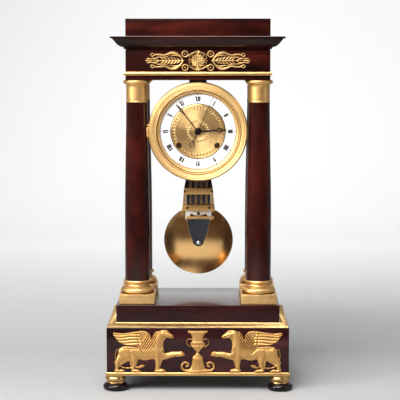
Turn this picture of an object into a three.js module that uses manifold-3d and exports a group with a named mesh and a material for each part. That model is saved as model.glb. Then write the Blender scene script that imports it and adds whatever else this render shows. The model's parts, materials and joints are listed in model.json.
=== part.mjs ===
// A French portico mantel clock: four mahogany columns with gilt bronze bases and capitals carry an
// entablature, and a drum movement hangs under it with a compensated gridiron pendulum behind.
// Millimetres, +Z up, front of the clock towards -Y, origin on the ground at the centre of the footprint.
import * as THREE from "three";
import { mergeVertices } from "three/addons/utils/BufferGeometryUtils.js";
import Module from "manifold-3d";

const wasm = await Module();
wasm.setup();

// ---------------------------------------------------------------- driving dimensions
const GAP = 0.3; // air between two separate pieces that touch on the real clock

const BASE = { halfX: 147.5, halfY: 95, bottom: 25.8, top: 104, wall: 9 };
const FOOT = { x: 133.5, y: 81, bunR: 20.3, bunTop: 13.5, collarR: 14.6, collarTop: 25.5 };
const SLAB = { halfX: 132.5, halfY: 80, bottom: BASE.top + GAP, top: 138.5, wall: 9 };
const COLUMN = {
  x: 99, y: 47.5, plinthHalf: 28.8, baseBottom: SLAB.top + GAP, plinthTop: 155.2, baseTop: 176.4,
  shaftR: 20.3, neckR: 17.1, capitalBottom: 466, capitalTop: 501.7, tenonR: 9,
};
const ENTABLATURE = { halfX: 116, halfY: 65, bottom: 502, top: 551.3, wall: 9 };
const CORNICE = { bottom: 551.6, top: 571.7, overhang: 23.2 };
const ATTIC = { bottom: CORNICE.top + GAP, top: 600 };
const DIAL = { z: 419, face: -52, ringIn: 44.3, ringOut: 63, bezelIn: 61.6, bezelOut: 80.5, bezelFront: -62 };
const GLASS_R = 67;
const HINGE = { x: -81.4, y: -58 }; // upright pin of the bezel, left of the dial
const DRUM = { outR: 65, inR: 63.5, front: -48.7, back: 6 };
const PLATE = { frontR: 60, frontY: -40, backR: 63, backY: -5, thick: 2.5 };
const WINDING = { x: 30.8, z: DIAL.z - 23, holeR: 4.4, arborR: 2.4, tipY: -50.6, barrelR: 19 };
const TRAIN = { distance: 27, wheelTeeth: 64, thirdTeeth: 60, leaves: 8, escapeR: 18.8, escapeTeeth: 60 };
const ANCHOR = { z: DIAL.z + 30, y: -9.5, forkZ: 375 };
const PENDULUM = { y: 36, pivotZ: 490, bobZ: 229.5, bobR: 58.2, bobHalfThick: 11 };
const GRID = {
  steelR: 2.9, steelPitch: 9, brassR: 1.3, brassY: 33.5, steelY: 36.2,
  footZ: 264.3, headZ: 432, innerHalf: 21.3, frontY: 30, wallFront: 32.5, wallBack: 39.5, backY: 41.6,
};
const POINTER = { y: 29.8, z: 284.5 };
const HAND = { hour: 86.8, minute: 321.6, second: 24 }; // degrees clockwise from twelve: 2:53:36

const TURNED = 20; // facets round a turned case piece
const ROUND = 48; // facets round the dial pieces

// ---------------------------------------------------------------- materials
const finish = (color, roughness, metalness) => new THREE.MeshStandardMaterial({ color, roughness,
  metalness });
const mahogany = finish(0x3a120c, 0.25, 0);
const ebonised = finish(0x140b0d, 0.3, 0);
const giltBronze = finish(0xd9a85a, 0.35, 1);
const brass = finish(0xb98d4c, 0.35, 1);
const blueSteel = finish(0x23242c, 0.3, 1);
const greySteel = finish(0x4c4a4a, 0.3, 1);
const bellMetal = finish(0xb8a070, 0.3, 1);
const enamel = finish(0xf4f3ee, 0.15, 0);
const clearGlass = new THREE.MeshStandardMaterial({ color: 0xeef4f4, roughness: 0.05, transparent: true,
  opacity: 0.15 });

// ---------------------------------------------------------------- solids
function solidOf(geometry) {
  const g = geometry.index ? geometry.toNonIndexed() : geometry;
  g.deleteAttribute("normal");
  g.deleteAttribute("uv");
  const merged = mergeVertices(g, 1e-3);
  const triVerts = new Uint32Array(merged.index.array);
  const vertProperties = merged.attributes.position.array;
  const made = new wasm.Manifold(new wasm.Mesh({ numProp: 3, vertProperties, triVerts }));
  if (made.volume() >= 0) return made;
  for (let i = 0; i < triVerts.length; i += 3) {
    [triVerts[i + 1], triVerts[i + 2]] = [triVerts[i + 2], triVerts[i + 1]];
  }
  return new wasm.Manifold(new wasm.Mesh({ numProp: 3, vertProperties, triVerts }));
}

const joined = (solids) => solids.reduce((a, b) => a.add(b));

function box(x0, x1, y0, y1, z0, z1) {
  const g = new THREE.BoxGeometry(x1 - x0, y1 - y0, z1 - z0);
  return solidOf(g.translate((x0 + x1) / 2, (y0 + y1) / 2, (z0 + z1) / 2));
}

const block = (halfX, halfY, z0, z1) => box(-halfX, halfX, -halfY, halfY, z0, z1);

// A profile of [radius, height] turned round a vertical axis through x, y. A ring's profile closes on itself.
function turnedUp(profile, x, y, segments, ring = false) {
  const points = profile.map(([r, z]) => new THREE.Vector2(r, z));
  if (ring) points.push(points[0].clone());
  const g = new THREE.LatheGeometry(points, segments).rotateX(Math.PI / 2);
  return solidOf(g.translate(x, y, 0));
}

// A profile of [radius, y] turned round an axis along Y through x, z.
function turnedAcross(profile, x, z, segments, ring = false) {
  const points = profile.map(([r, y]) => new THREE.Vector2(r, y));
  if (ring) points.push(points[0].clone());
  return solidOf(new THREE.LatheGeometry(points, segments).translate(x, 0, z));
}

const rodAcross = (r, y0, y1, x, z, segments = 12) =>
  turnedAcross([[0, y0], [r, y0], [r, y1], [0, y1]], x, z, segments);
const rodUp = (r, z0, z1, x, y, segments = 12) => turnedUp([[0, z0], [r, z0], [r, z1], [0, z1]], x, y,
  segments);
const tubeAcross = (rIn, rOut, y0, y1, x, z, segments = 24) =>
  turnedAcross([[rIn, y0], [rOut, y0], [rOut, y1], [rIn, y1]], x, z, segments, true);

// A flat shape drawn in x and z, given a thickness from y0 back to y1.
function plate(shape, y0, y1, curveSegments = 5) {
  const g = new THREE.ExtrudeGeometry(shape, { depth: y1 - y0, bevelEnabled: false, curveSegments });
  return solidOf(g.rotateX(Math.PI / 2).translate(0, y1, 0));
}

const polygon = (points) => new THREE.Shape(points.map(([x, z]) => new THREE.Vector2(x, z)));

function smoothOutline(points) {
  const [first, ...rest] = points.map(([x, z]) => new THREE.Vector2(x, z));
  return new THREE.Shape().moveTo(first.x, first.y).splineThru(rest);
}

// A strip of even width along a smooth line.
function ribbon(points, width, steps = 12) {
  const line = new THREE.SplineCurve(points.map(([x, z]) => new THREE.Vector2(x, z)));
  const left = [];
  const right = [];
  for (let i = 0; i <= steps; i++) {
    const p = line.getPoint(i / steps);
    const t = line.getTangent(i / steps);
    left.push([p.x - (t.y * width) / 2, p.y + (t.x * width) / 2]);
    right.unshift([p.x + (t.y * width) / 2, p.y - (t.x * width) / 2]);
  }
  return polygon([...left, ...right]);
}

// Rectangles of a moulding, one for each [inset, z] of its profile, joined by mitred faces.
// A closed profile makes a frame; an open one, listed from the bottom up, makes a block with flat ends.
function moulding(profile, halfX, halfY, frame) {
  const corners = [[1, 1], [-1, 1], [-1, -1], [1, -1]];
  const position = [];
  const quad = (a, b, c, d) => position.push(...a, ...b, ...c, ...a, ...c, ...d);
  const point = ([inset, z], [sx, sy]) => [sx * (halfX - inset), sy * (halfY - inset), z];
  const last = frame ? profile.length : profile.length - 1;
  for (let i = 0; i < last; i++) {
    const low = profile[i];
    const high = profile[(i + 1) % profile.length];
    corners.forEach((c, k) => {
      const next = corners[(k + 1) % 4];
      quad(point(low, c), point(low, next), point(high, next), point(high, c));
    });
  }
  if (!frame) {
    quad(...corners.map((c) => point(profile.at(-1), c)));
    quad(...corners.map((c) => point(profile[0], c)).reverse());
  }
  const g = new THREE.BufferGeometry();
  g.setAttribute("position", new THREE.Float32BufferAttribute(position, 3));
  return solidOf(g);
}

const part = new THREE.Group();

function add(name, solid, material) {
  const m = solid.getMesh();
  const g = new THREE.BufferGeometry();
  g.setAttribute("position", new THREE.Float32BufferAttribute(m.vertProperties, m.numProp));
  g.setIndex(new THREE.BufferAttribute(m.triVerts, 1));
  g.computeVertexNormals();
  const mesh = new THREE.Mesh(g, material);
  mesh.name = name;
  part.add(mesh);
}

const CORNERS = [["front_left", -1, -1], ["front_right", 1, -1], ["rear_left", -1, 1], ["rear_right", 1, 1]];

// ---------------------------------------------------------------- base
function feet() {
  const { bunR, bunTop, collarR, collarTop } = FOOT;
  const bun = [[0, 0], [16.5, 0], [bunR - 1, 2.6], [bunR, 6], [bunR - 1.6, 9.6], [15.5, bunTop - 1],
    [14, bunTop], [0, bunTop]];
  const low = bunTop + GAP;
  const collar = [[0, low], [collarR - 1, low], [collarR, low + 3], [collarR - 0.6, collarTop - 3.5],
    [collarR - 2.4, collarTop - 1.5], [collarR - 2.4, collarTop], [0, collarTop]];
  for (const [corner, sx, sy] of CORNERS) {
    add(`foot_bun_${corner}`, turnedUp(bun, sx * FOOT.x, sy * FOOT.y, TURNED), ebonised);
    add(`foot_collar_${corner}`, turnedUp(collar, sx * FOOT.x, sy * FOOT.y, TURNED), giltBronze);
  }
}

function base() {
  const { halfX, halfY, bottom, top, wall } = BASE;
  const hollow = block(halfX - wall, halfY - wall, bottom + wall, top + 1);
  add("base_box", block(halfX, halfY, bottom, top).subtract(hollow), mahogany);

  const bandOut = 1.8;
  const bandTop = 31.2;
  const band = [[0, bottom], [0, bandTop - 1.2], [0.8, bandTop], [bandOut - GAP, bandTop],
    [bandOut - GAP, bottom]];
  add("base_bottom_band", moulding(band, halfX + bandOut, halfY + bandOut, true), giltBronze);

  const inset = 1;
  const reach = halfX - inset - SLAB.halfX - GAP;
  const low = top + GAP;
  const leaf = [[0, low], [0, low + 1.6], [2.4, low + 2], [reach - 2.5, 110.6], [reach - 0.6, 111.8],
    [reach, 111.8], [reach, low]];
  add("base_top_moulding", moulding(leaf, halfX - inset, halfY - inset, true), giltBronze);

  const slab = block(SLAB.halfX, SLAB.halfY, SLAB.bottom, SLAB.top);
  const under = block(SLAB.halfX - SLAB.wall, SLAB.halfY - SLAB.wall, SLAB.bottom - 1, SLAB.top - SLAB.wall);
  add("upper_plinth", slab.subtract(under), mahogany);
}

// ---------------------------------------------------------------- gilt mounts on the base
// The left griffin's outline, in x and height above the ground line, facing the centre with one paw raised.
const GROUND = BASE.bottom + 5.6;
const GRIFFIN = [
  [-136.6, 65.2], [-133.2, 65.5], [-123, 64.2], [-111.7, 65.5], [-100.5, 67.2], [-88.2, 67.9],
  [-82, 66.3], [-78, 63], [-75.9, 58.3], [-75.6, 54.2], [-73.6, 57.8], [-72, 61.6], [-69.6, 64.6],
  [-65.6, 67.4], [-61, 68.4], [-55.4, 69.6], [-49.3, 68.8], [-47.2, 66.6], [-44.2, 64],
  [-40, 61.4], [-38, 58.4], [-39.2, 56.2], [-42.2, 55.4], [-46.2, 56.3], [-49.6, 56.6],
  [-52.4, 55.2], [-54.6, 52.6], [-55.5, 47.6], [-55.8, 43.4], [-54.9, 38.4], [-54, 35.2],
  [-54.5, 32.2], [-49.3, 31.8], [-44.2, 33.3], [-37, 33.8], [-31.9, 33.5], [-27.8, 34.4],
  [-24.6, 33.7], [-21.2, 30.8], [-20.8, 27.8], [-23.7, 26.2], [-27.8, 25.4], [-31.9, 25],
  [-35, 25.6], [-40, 24.5], [-45.2, 22.8], [-51.4, 21.4], [-57, 19.8], [-59, 14.9], [-60.6, 9.8],
  [-61.1, 5.8], [-57.5, 5.6], [-53.4, 4.2], [-51.8, 0.6], [-60, 0.2], [-69.8, 0.4], [-68.8, 4.8],
  [-68.3, 10.8], [-68.8, 16], [-69.4, 19.8], [-72, 21.8], [-76, 21.4], [-82, 19.8], [-88.2, 19.8],
  [-94.4, 21.4], [-97, 19.6], [-97.5, 15.8], [-99.5, 11.6], [-101, 8.6], [-101.5, 5.4],
  [-96.4, 4.9], [-92.4, 2.6], [-90.8, 0.3], [-99, 0.1], [-106.6, 0.3], [-107.6, 3.6],
  [-108.7, 7.8], [-109.7, 13.8], [-110.8, 18.8], [-116.9, 15.8], [-123, 12.2], [-126.6, 9.6],
  [-127.6, 6.6], [-128.1, 4.2], [-124, 5], [-120, 4.2], [-117, 0.9], [-125, 0.2], [-134.8, 0.2],
  [-134.3, 5.6], [-133.8, 11.8], [-134.8, 15.8], [-133.4, 20], [-130.6, 24.8], [-129, 31],
  [-128.4, 35.4], [-126, 39.4], [-121, 41.8], [-113.8, 42.5], [-106.6, 42], [-100.5, 41.3],
  [-95.4, 40.4], [-97.5, 42.6], [-106.6, 44], [-113.8, 44.4], [-118.9, 45.6], [-124, 47.6],
  [-128.1, 50.2], [-131.2, 53.8], [-133.8, 57.8], [-136.8, 60.8],
];
const TAIL = [[-130, 38], [-133.2, 31], [-132.2, 20], [-127, 11.6], [-121, 7.6], [-112.8, 6.9],
  [-104.6, 7.7], [-98.4, 9.8]];
const TUFT = [[-101.5, 7.6], [-96, 9.4], [-91.2, 12.2], [-85.4, 10.9], [-89.6, 7.6], [-95, 6.2]];
const RELIEF = 2.4;

function griffin(side) {
  const place = ([x, z]) => [side * x, z + GROUND];
  const back = -BASE.halfY - GAP;
  const pieces = [smoothOutline(GRIFFIN.map(place)), ribbon(TAIL.map(place), 1.8, 10),
    smoothOutline(TUFT.map(place))];
  return joined(pieces.map((s, i) => plate(s, back - (i ? RELIEF - 0.6 : RELIEF), back, 2)));
}

function urn() {
  const half = [[0, 69], [16.9, 69], [16.9, 66.4], [12.6, 63], [9.4, 58.6], [9, 51.4], [11.8, 49.2],
    [11.8, 43.8],
    [9, 39.2], [5, 35.8], [2.4, 33.6], [3.4, 31.3], [5.4, 29], [9, 27.4], [9, 24], [8.4, 22.6], [9.6, 14.4],
      [11.2, 7.7],
    [15, 3.5], [21, 0.4], [0, 0.4]];
  const outline = [...half, ...half.slice(1, -1).reverse().map(([x, z]) => [-x, z])];
  const lift = ([x, z]) => [x, z + GROUND];
  const back = -BASE.halfY - GAP;
  const shapes = [polygon(outline.map(lift))];
  for (const s of [-1, 1]) {
    const scroll = [[13, 4], [20, 3], [25.4, 6.6], [25.6, 12.6], [21, 16.4], [15.6, 14.6], [16.4, 10.4],
      [20, 9.8]];
    const handle = [[8.4, 53.6], [14.4, 55.2], [18.2, 50.6], [16.6, 45.4], [10.6, 41.4]];
    shapes.push(ribbon(scroll.map(([x, z]) => lift([s * x, z])), 4, 14),
      ribbon(handle.map(([x, z]) => lift([s * x, z])), 1.6, 10));
  }
  return joined(shapes.map((s, i) => plate(s, back - (i ? RELIEF - 0.5 : RELIEF), back)));
}

// ---------------------------------------------------------------- columns
function columns() {
  const { baseBottom, plinthTop, baseTop, plinthHalf, shaftR, neckR, capitalBottom, capitalTop,
    tenonR } = COLUMN;
  const hole = tenonR + GAP;
  const rings = [
    [27, plinthTop], [27.6, plinthTop + 3.8], [27, plinthTop + 8], [24.6, plinthTop + 10.6],
    [22.8, plinthTop + 11.4], [21.4, plinthTop + 14.6], [22, plinthTop + 17], [23, plinthTop + 19.2],
      [22.4, baseTop],
  ];
  const baseRing = [[hole, plinthTop - 1], [26, plinthTop - 1], ...rings, [hole, baseTop]];
  const capital = [
    [hole, capitalBottom], [neckR + 0.4, capitalBottom], [neckR + 0.4, capitalBottom + 2.6],
      [neckR, capitalBottom + 3.4],
    [neckR, capitalTop - 9.4], [neckR + 1.2, capitalTop - 6.8], [21.2, capitalTop - 4.6],
      [22, capitalTop - 2.8],
    [22, capitalTop], [hole, capitalTop],
  ];
  const shaft = [
    [0, baseBottom + 1], [tenonR, baseBottom + 1], [tenonR, baseTop + GAP], [shaftR, baseTop + GAP],
      [shaftR, 230],
    [shaftR - 0.3, 306], [shaftR - 1.7, 380], [shaftR - 2.5, 420], [neckR, capitalBottom - GAP],
    [tenonR, capitalBottom - GAP], [tenonR, capitalTop - 1], [0, capitalTop - 1],
  ];
  for (const [corner, sx, sy] of CORNERS) {
    const x = sx * COLUMN.x;
    const y = sy * COLUMN.y;
    const plinth = box(x - plinthHalf, x + plinthHalf, y - plinthHalf, y + plinthHalf, baseBottom, plinthTop);
    const bored = plinth.subtract(rodUp(hole, baseBottom - 1, plinthTop + 1, x, y, TURNED));
    add(`column_base_${corner}`, bored.add(turnedUp(baseRing, x, y, TURNED, true)), giltBronze);
    add(`column_shaft_${corner}`, turnedUp(shaft, x, y, TURNED), mahogany);
    add(`column_capital_${corner}`, turnedUp(capital, x, y, TURNED, true), giltBronze);
  }
}

// ---------------------------------------------------------------- entablature
function entablature() {
  const { halfX, halfY, bottom, top, wall } = ENTABLATURE;
  const hollow = block(halfX - wall, halfY - wall, bottom + wall, top + 1);
  const pad = box(-14, 14, -46, 2, DIAL.z + DRUM.outR + GAP, bottom + 1);
  add("entablature_box", block(halfX, halfY, bottom, top).subtract(hollow).add(pad), mahogany);

  const out = 3;
  const low = 509.5;
  const band = [[0, low + 1], [0, low + 4.6], [1, low + 5.7], [out - GAP, low + 5.7], [out - GAP, low],
    [1, low]];
  add("architrave_band", moulding(band, halfX + out, halfY + out, true), giltBronze);

  const o = CORNICE.overhang;
  const { bottom: z0, top: z1 } = CORNICE;
  const sweep = [[o - 2.6, z0], [o - 2.6, z0 + 2.6], [o - 5.6, z0 + 4], [o - 11, z0 + 7.4],
    [o - 16.2, z0 + 13.2], [3, z1 - 3],
    [0, z1 - 2.4], [0, z1]];
  add("cornice", moulding(sweep, halfX + o, halfY + o, false), mahogany);

  const attic = block(halfX, halfY, ATTIC.bottom, ATTIC.top);
  add("attic_block", attic.subtract(block(halfX - wall, halfY - wall, ATTIC.bottom - 1, ATTIC.top - wall)),
    mahogany);
}

// The pierced mount on the frieze: a rosette in a lacy round, with a lyre of two arms and a palmette stem
// each side.
function friezeMount() {
  const z = (ENTABLATURE.top + 515.2) / 2;
  const back = -ENTABLATURE.halfY - GAP;
  const disc = new THREE.Shape().absarc(0, z, 13.5, 0, 2 * Math.PI);
  const shapes = [disc];
  for (const s of [-1, 1]) {
    shapes.push(ribbon([[s * 8, z], [s * 40, z], [s * 83.5, z]], 3.4, 4));
    shapes.push(polygon([[s * 30, z], [s * 38, z + 7.6], [s * 52, z], [s * 38, z - 7.6]]));
    for (const v of [-1, 1]) {
      shapes.push(ribbon([[s * 23, z], [s * 31, z + v * 10.6], [s * 45, z + v * 12.2],
        [s * 60, z + v * 8.6], [s * 70, z + v * 9.6],
        [s * 77, z + v * 7.4], [s * 80, z]], 4, 16));
      shapes.push(ribbon([[s * 8, z + v * 7], [s * 15, z + v * 14.4], [s * 25, z + v * 14.2],
        [s * 26.4, z + v * 6], [s * 16, z]], 3, 14));
    }
  }
  return joined(shapes.map((s, i) => plate(s, back - 1.7 - (i % 4) * 0.15, back, 6)));
}

// ---------------------------------------------------------------- dial and drum
function dial() {
  const { z, face, ringIn, ringOut, bezelIn, bezelOut, bezelFront } = DIAL;
  const lip = face - GAP - 0.1;
  const rim = [[bezelIn, lip], [bezelIn + 0.8, -56], [65.4, -58.2], [GLASS_R + GAP, -58.2],
    [GLASS_R + GAP, -60.6], [68.8, -60.9],
    [72, -61.6], [75.4, bezelFront], [78.6, -60.4], [80.2, -57.6], [bezelOut, -54], [79, -52.5],
      [78.6, -49], [DRUM.outR + 1.5, -49],
    [DRUM.outR + 1.5, lip]];
  const knuckle = rodUp(1.6, z - 7, z + 7, HINGE.x, HINGE.y).add(box(HINGE.x, -78.6, HINGE.y - 1,
    HINGE.y + 1, z - 6, z + 6));
  const bored = turnedAcross(rim, 0, z, ROUND, true).add(knuckle)
    .subtract(rodUp(0.9, z - 8, z + 8, HINGE.x, HINGE.y));
  add("bezel", bored, giltBronze);
  add("bezel_glass", rodAcross(GLASS_R, -60.1, -58.5, 0, z, ROUND), clearGlass);
  const ring = [[ringIn, face], [(ringIn + ringOut) / 2, face - 0.3], [ringOut, face],
    [ringOut, face + 1.5], [ringIn, face + 1.5]];
  add("chapter_ring", turnedAcross(ring, 0, z, ROUND, true), enamel);

  let centre = rodAcross(ringIn - GAP, face, face + 1.6, 0, z, ROUND)
    .subtract(rodAcross(4, face - 1, face + 3, 0, z, 24));
  for (const s of [-1, 1]) centre = centre.subtract(rodAcross(WINDING.holeR, face - 1, face + 3,
    s * WINDING.x, WINDING.z, 20));
  add("dial_centre", centre, giltBronze);

  const { outR, inR, front, back } = DRUM;
  const can = [[ringIn - 1, front - 1.5], [outR, front - 1.5], [outR, back], [inR, back], [inR, front],
    [ringIn - 1, front]];
  const lugs = [7.4, -11.4].map((dz) => joined([
    box(-80.7, -60, front + GAP, front + 1.8, z + dz, z + dz + 4),
    box(-80.7, -79.2, -52.3, front + 1.8, z + dz, z + dz + 4),
    box(HINGE.x, HINGE.x + 1, HINGE.y, -51.8, z + dz, z + dz + 4),
    rodUp(1.5, z + dz, z + dz + 4, HINGE.x, HINGE.y),
  ]));
  const pin = rodUp(0.8, z - 11, z + 11, HINGE.x, HINGE.y);
  add("drum_case", joined([turnedAcross(can, 0, z, ROUND, true), ...lugs, pin]), brass);
}

// ---------------------------------------------------------------- movement
const THIRD = { x: 0, z: DIAL.z - TRAIN.distance };

function plates() {
  const { frontR, frontY, backR, backY, thick } = PLATE;
  let front = rodAcross(frontR, frontY, frontY + thick, 0, DIAL.z, 32)
    .subtract(rodAcross(2.7, frontY - 1, frontY + 4, 0, DIAL.z));
  for (const s of [-1, 1]) {
    front = front.subtract(rodAcross(WINDING.arborR + 0.4, frontY - 1, frontY + 4, s * WINDING.x, WINDING.z));
  }
  for (const turn of [45, 135, 270]) {
    const a = THREE.MathUtils.degToRad(turn);
    const x = 56 * Math.cos(a);
    front = front.add(rodAcross(3, frontY + 1, backY - GAP, x, DIAL.z + 56 * Math.sin(a)));
  }
  add("front_plate", front, brass);

  let rear = rodAcross(backR, backY, backY + thick, 0, DIAL.z, ROUND);
  rear = rear.subtract(rodAcross(2.2, backY - 1, backY + 4, 0, ANCHOR.z));
  rear = rear.subtract(rodAcross(2.2, backY - 1, backY + 4, HAMMER.x, HAMMER.z));
  rear = rear.add(rodAcross(2, backY + 1, BELL.crown - 3.4, BELL.x, BELL.z));
  add("back_plate", rear, brass);
}

// A toothed wheel with a round web, four windows crossed out of it and a bore, on an axis along Y.
function wheel(radius, teeth, bore, y0, y1, x, z) {
  const outline = [];
  for (let i = 0; i < teeth; i++) {
    const a = (2 * Math.PI * i) / teeth;
    const b = a + Math.PI / teeth;
    outline.push([x + radius * Math.cos(a), z + radius * Math.sin(a)]);
    outline.push([x + (radius - 1.3) * Math.cos(b), z + (radius - 1.3) * Math.sin(b)]);
  }
  let made = plate(polygon(outline), y0, y1);
  if (bore) made = made.subtract(rodAcross(bore, y0 - 1, y1 + 1, x, z));
  if (radius < 10) return made;
  for (let k = 0; k < 4; k++) {
    const a = Math.PI / 4 + (k * Math.PI) / 2;
    const middle = (radius - 1) / 2 + 1;
    made = made.subtract(rodAcross((radius - 7) / 2.6, y0 - 1, y1 + 1, x + middle * Math.cos(a),
      z + middle * Math.sin(a), 10));
  }
  return made;
}

function train() {
  const { distance, wheelTeeth, thirdTeeth, leaves, escapeR, escapeTeeth } = TRAIN;
  const clear = 0.15; // each tip stops short of the pitch line, so no two teeth touch
  const centreR = (distance * wheelTeeth) / (wheelTeeth + leaves);
  const thirdR = (distance * thirdTeeth) / (thirdTeeth + leaves);
  const z = DIAL.z;

  const centrePipe = tubeAcross(1.3, 2.3, -56, -34.8, 0, z, 16);
  add("centre_wheel", wheel(centreR - clear, wheelTeeth, 1.3, -36.6, -35.2, 0, z).add(centrePipe), brass);

  const third = wheel(thirdR - clear, thirdTeeth, 0, -14.6, -13.2, THIRD.x, THIRD.z);
  const thirdPinion = rodAcross(distance - centreR - clear, -36.8, -35, THIRD.x, THIRD.z, leaves);
  add("third_wheel", joined([third, thirdPinion, rodAcross(1.2, -37.2, -5.4, THIRD.x, THIRD.z)]), brass);

  const escape = wheel(escapeR, escapeTeeth, 0, ANCHOR.y, ANCHOR.y + 1.4, 0, z);
  const escapePinion = rodAcross(distance - thirdR - clear, -15, -12.8, 0, z, leaves);
  add("escape_wheel", joined([escape, escapePinion, rodAcross(0.9, -56.2, -5.4, 0, z)]), brass);

  for (const [name, s] of [["strike", -1], ["going", 1]]) {
    const x = s * WINDING.x;
    add(`${name}_barrel`, tubeAcross(WINDING.arborR + 0.4, WINDING.barrelR, -34.4, -16, x, WINDING.z), brass);
    const half = 1.7;
    const square = box(x - half, x + half, WINDING.tipY, -41, WINDING.z - half, WINDING.z + half);
    add(`${name}_winding_arbor`, square.add(rodAcross(WINDING.arborR, -42, -5.4, x, WINDING.z)), greySteel);
  }
}

function anchor() {
  const { z, y, forkZ } = ANCHOR;
  const arch = ribbon([[-17.2, z - 14.6], [-14, z - 7.5], [0, z], [14, z - 7.5], [17.2, z - 14.6]], 3.6, 10);
  const arbor = rodAcross(1.7, y - 1, 9, 0, z);
  const crutch = box(-2.4, 2.4, 7, 9, forkZ + 8, z + 1);
  const fork = box(-4.6, 4.6, 7, 9, forkZ - 7, forkZ + 9).subtract(box(-1.7, 1.7, 6, 10, forkZ - 8,
    forkZ + 6));
  add("anchor_and_crutch", joined([plate(arch, y, y + 1.6), arbor, crutch, fork]), greySteel);
}

const BELL = { x: 13, z: DIAL.z, r: 30, mouth: 12, crown: 26 };
const HAMMER = { x: 50, z: 388 };

function strike() {
  const { x, z, r, mouth, crown } = BELL;
  const outer = [[2.3, crown], [14, crown - 0.6], [24, crown - 3.4], [28, crown - 7.4], [r, mouth]];
  const inner = [[r - 1.8, mouth], [26.4, crown - 8.4], [22.8, crown - 5], [13.6, crown - 2.4],
    [2.3, crown - 1.8]];
  add("bell", turnedAcross([...outer, ...inner], x, z, 24, true), bellMetal);

  const stem = ribbon([[HAMMER.x, HAMMER.z], [HAMMER.x + 3, HAMMER.z + 16], [47.6, z]], 2.6, 8);
  const head = turnedUp([[0, z - 5], [3.4, z - 5], [3.4, z + 5], [0, z + 5]], 47.8, 16, 12);
  const arbor = rodAcross(1.6, -6, 18, HAMMER.x, HAMMER.z);
  add("hammer", joined([plate(stem, 14.6, 17), head, arbor]), greySteel);
}

// ---------------------------------------------------------------- hands
// Each hand is drawn pointing to twelve and turned clockwise, seen from the front, to its place on the dial.
function turnedHand(solid, degrees) {
  const a = THREE.MathUtils.degToRad(degrees);
  const m = new THREE.Matrix4().makeTranslation(0, 0, DIAL.z).multiply(new THREE.Matrix4().makeRotationY(a));
  return solid.translate([0, 0, -DIAL.z]).transform(m.elements);
}

// A tapering hand with a round hub, and a hollow ring near its tip.
function moonHand(length, moon, moonR, hubR, bore, y0, y1, shape) {
  const z = DIAL.z;
  const blade = polygon([[-shape.root, z], [-shape.tip, z + length - 4], [0, z + length],
    [shape.tip, z + length - 4], [shape.root, z]]);
  const ring = rodAcross(moonR, y0, y1, 0, z + moon, 16);
  const hollow = rodAcross(moonR - 1.3, y0 - 1, y1 + 1, 0, z + moon, 16);
  const hub = rodAcross(hubR, y0, y1, 0, z, 20);
  return joined([plate(blade, y0, y1), ring, hub]).subtract(hollow)
    .subtract(rodAcross(bore, y0 - 1, y1 + 1, 0, z, 16));
}

function hands() {
  const hour = moonHand(44.5, 38.6, 4.4, 6.2, 2.6, -54.1, -53.4, { root: 1.3, tip: 0.8 });
  add("hour_hand", turnedHand(hour.add(tubeAcross(2.6, 3.5, -53.8, -42, 0, DIAL.z, 16)), HAND.hour),
    blueSteel);
  add("minute_hand", turnedHand(moonHand(57, 43.6, 3.2, 5.6, 2.6, -55.5, -54.8, { root: 1.2, tip: 0.7 }),
    HAND.minute), blueSteel);

  const z = DIAL.z;
  const blade = polygon([[-0.7, z - 21], [-0.8, z], [-0.35, z + 59], [0, z + 61], [0.35, z + 59], [0.8, z],
    [0.7, z - 21]]);
  const weight = rodAcross(4.4, -57.2, -56.6, 0, z - 23.4, 20)
    .subtract(rodAcross(3.1, -58, -56, 0, z - 23.4, 20));
  const second = joined([plate(blade, -57.2, -56.6), weight, rodAcross(3.6, -57.8, -56.8, 0, z, 20)]);
  add("seconds_hand", turnedHand(second, HAND.second), blueSteel);
}

// ---------------------------------------------------------------- pendulum
function suspension() {
  const { y, pivotZ } = PENDULUM;
  const slot = box(-1.3, 1.3, y - 10, y + 10, pivotZ - 8, pivotZ + 6);
  add("suspension_bracket", box(-10, 10, 20, 52, pivotZ - 2, ENTABLATURE.bottom - GAP).subtract(slot), brass);
  add("suspension_spring", box(-0.3, 0.3, y - 4, y + 4, 468.5, pivotZ + 4.5), greySteel);
}

// A collar that holds all the rods: a flat frame round the grid, wider at its foot.
function collar(halfLow, halfHigh, z0, z1) {
  const { frontY, backY, wallFront, wallBack, innerHalf } = GRID;
  const outer = plate(polygon([[-halfLow, z0], [halfLow, z0], [halfHigh, z1], [-halfHigh, z1]]), frontY,
    backY);
  return outer.subtract(box(-innerHalf, innerHalf, wallFront, wallBack, z0 - 1, z1 + 1));
}

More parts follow.
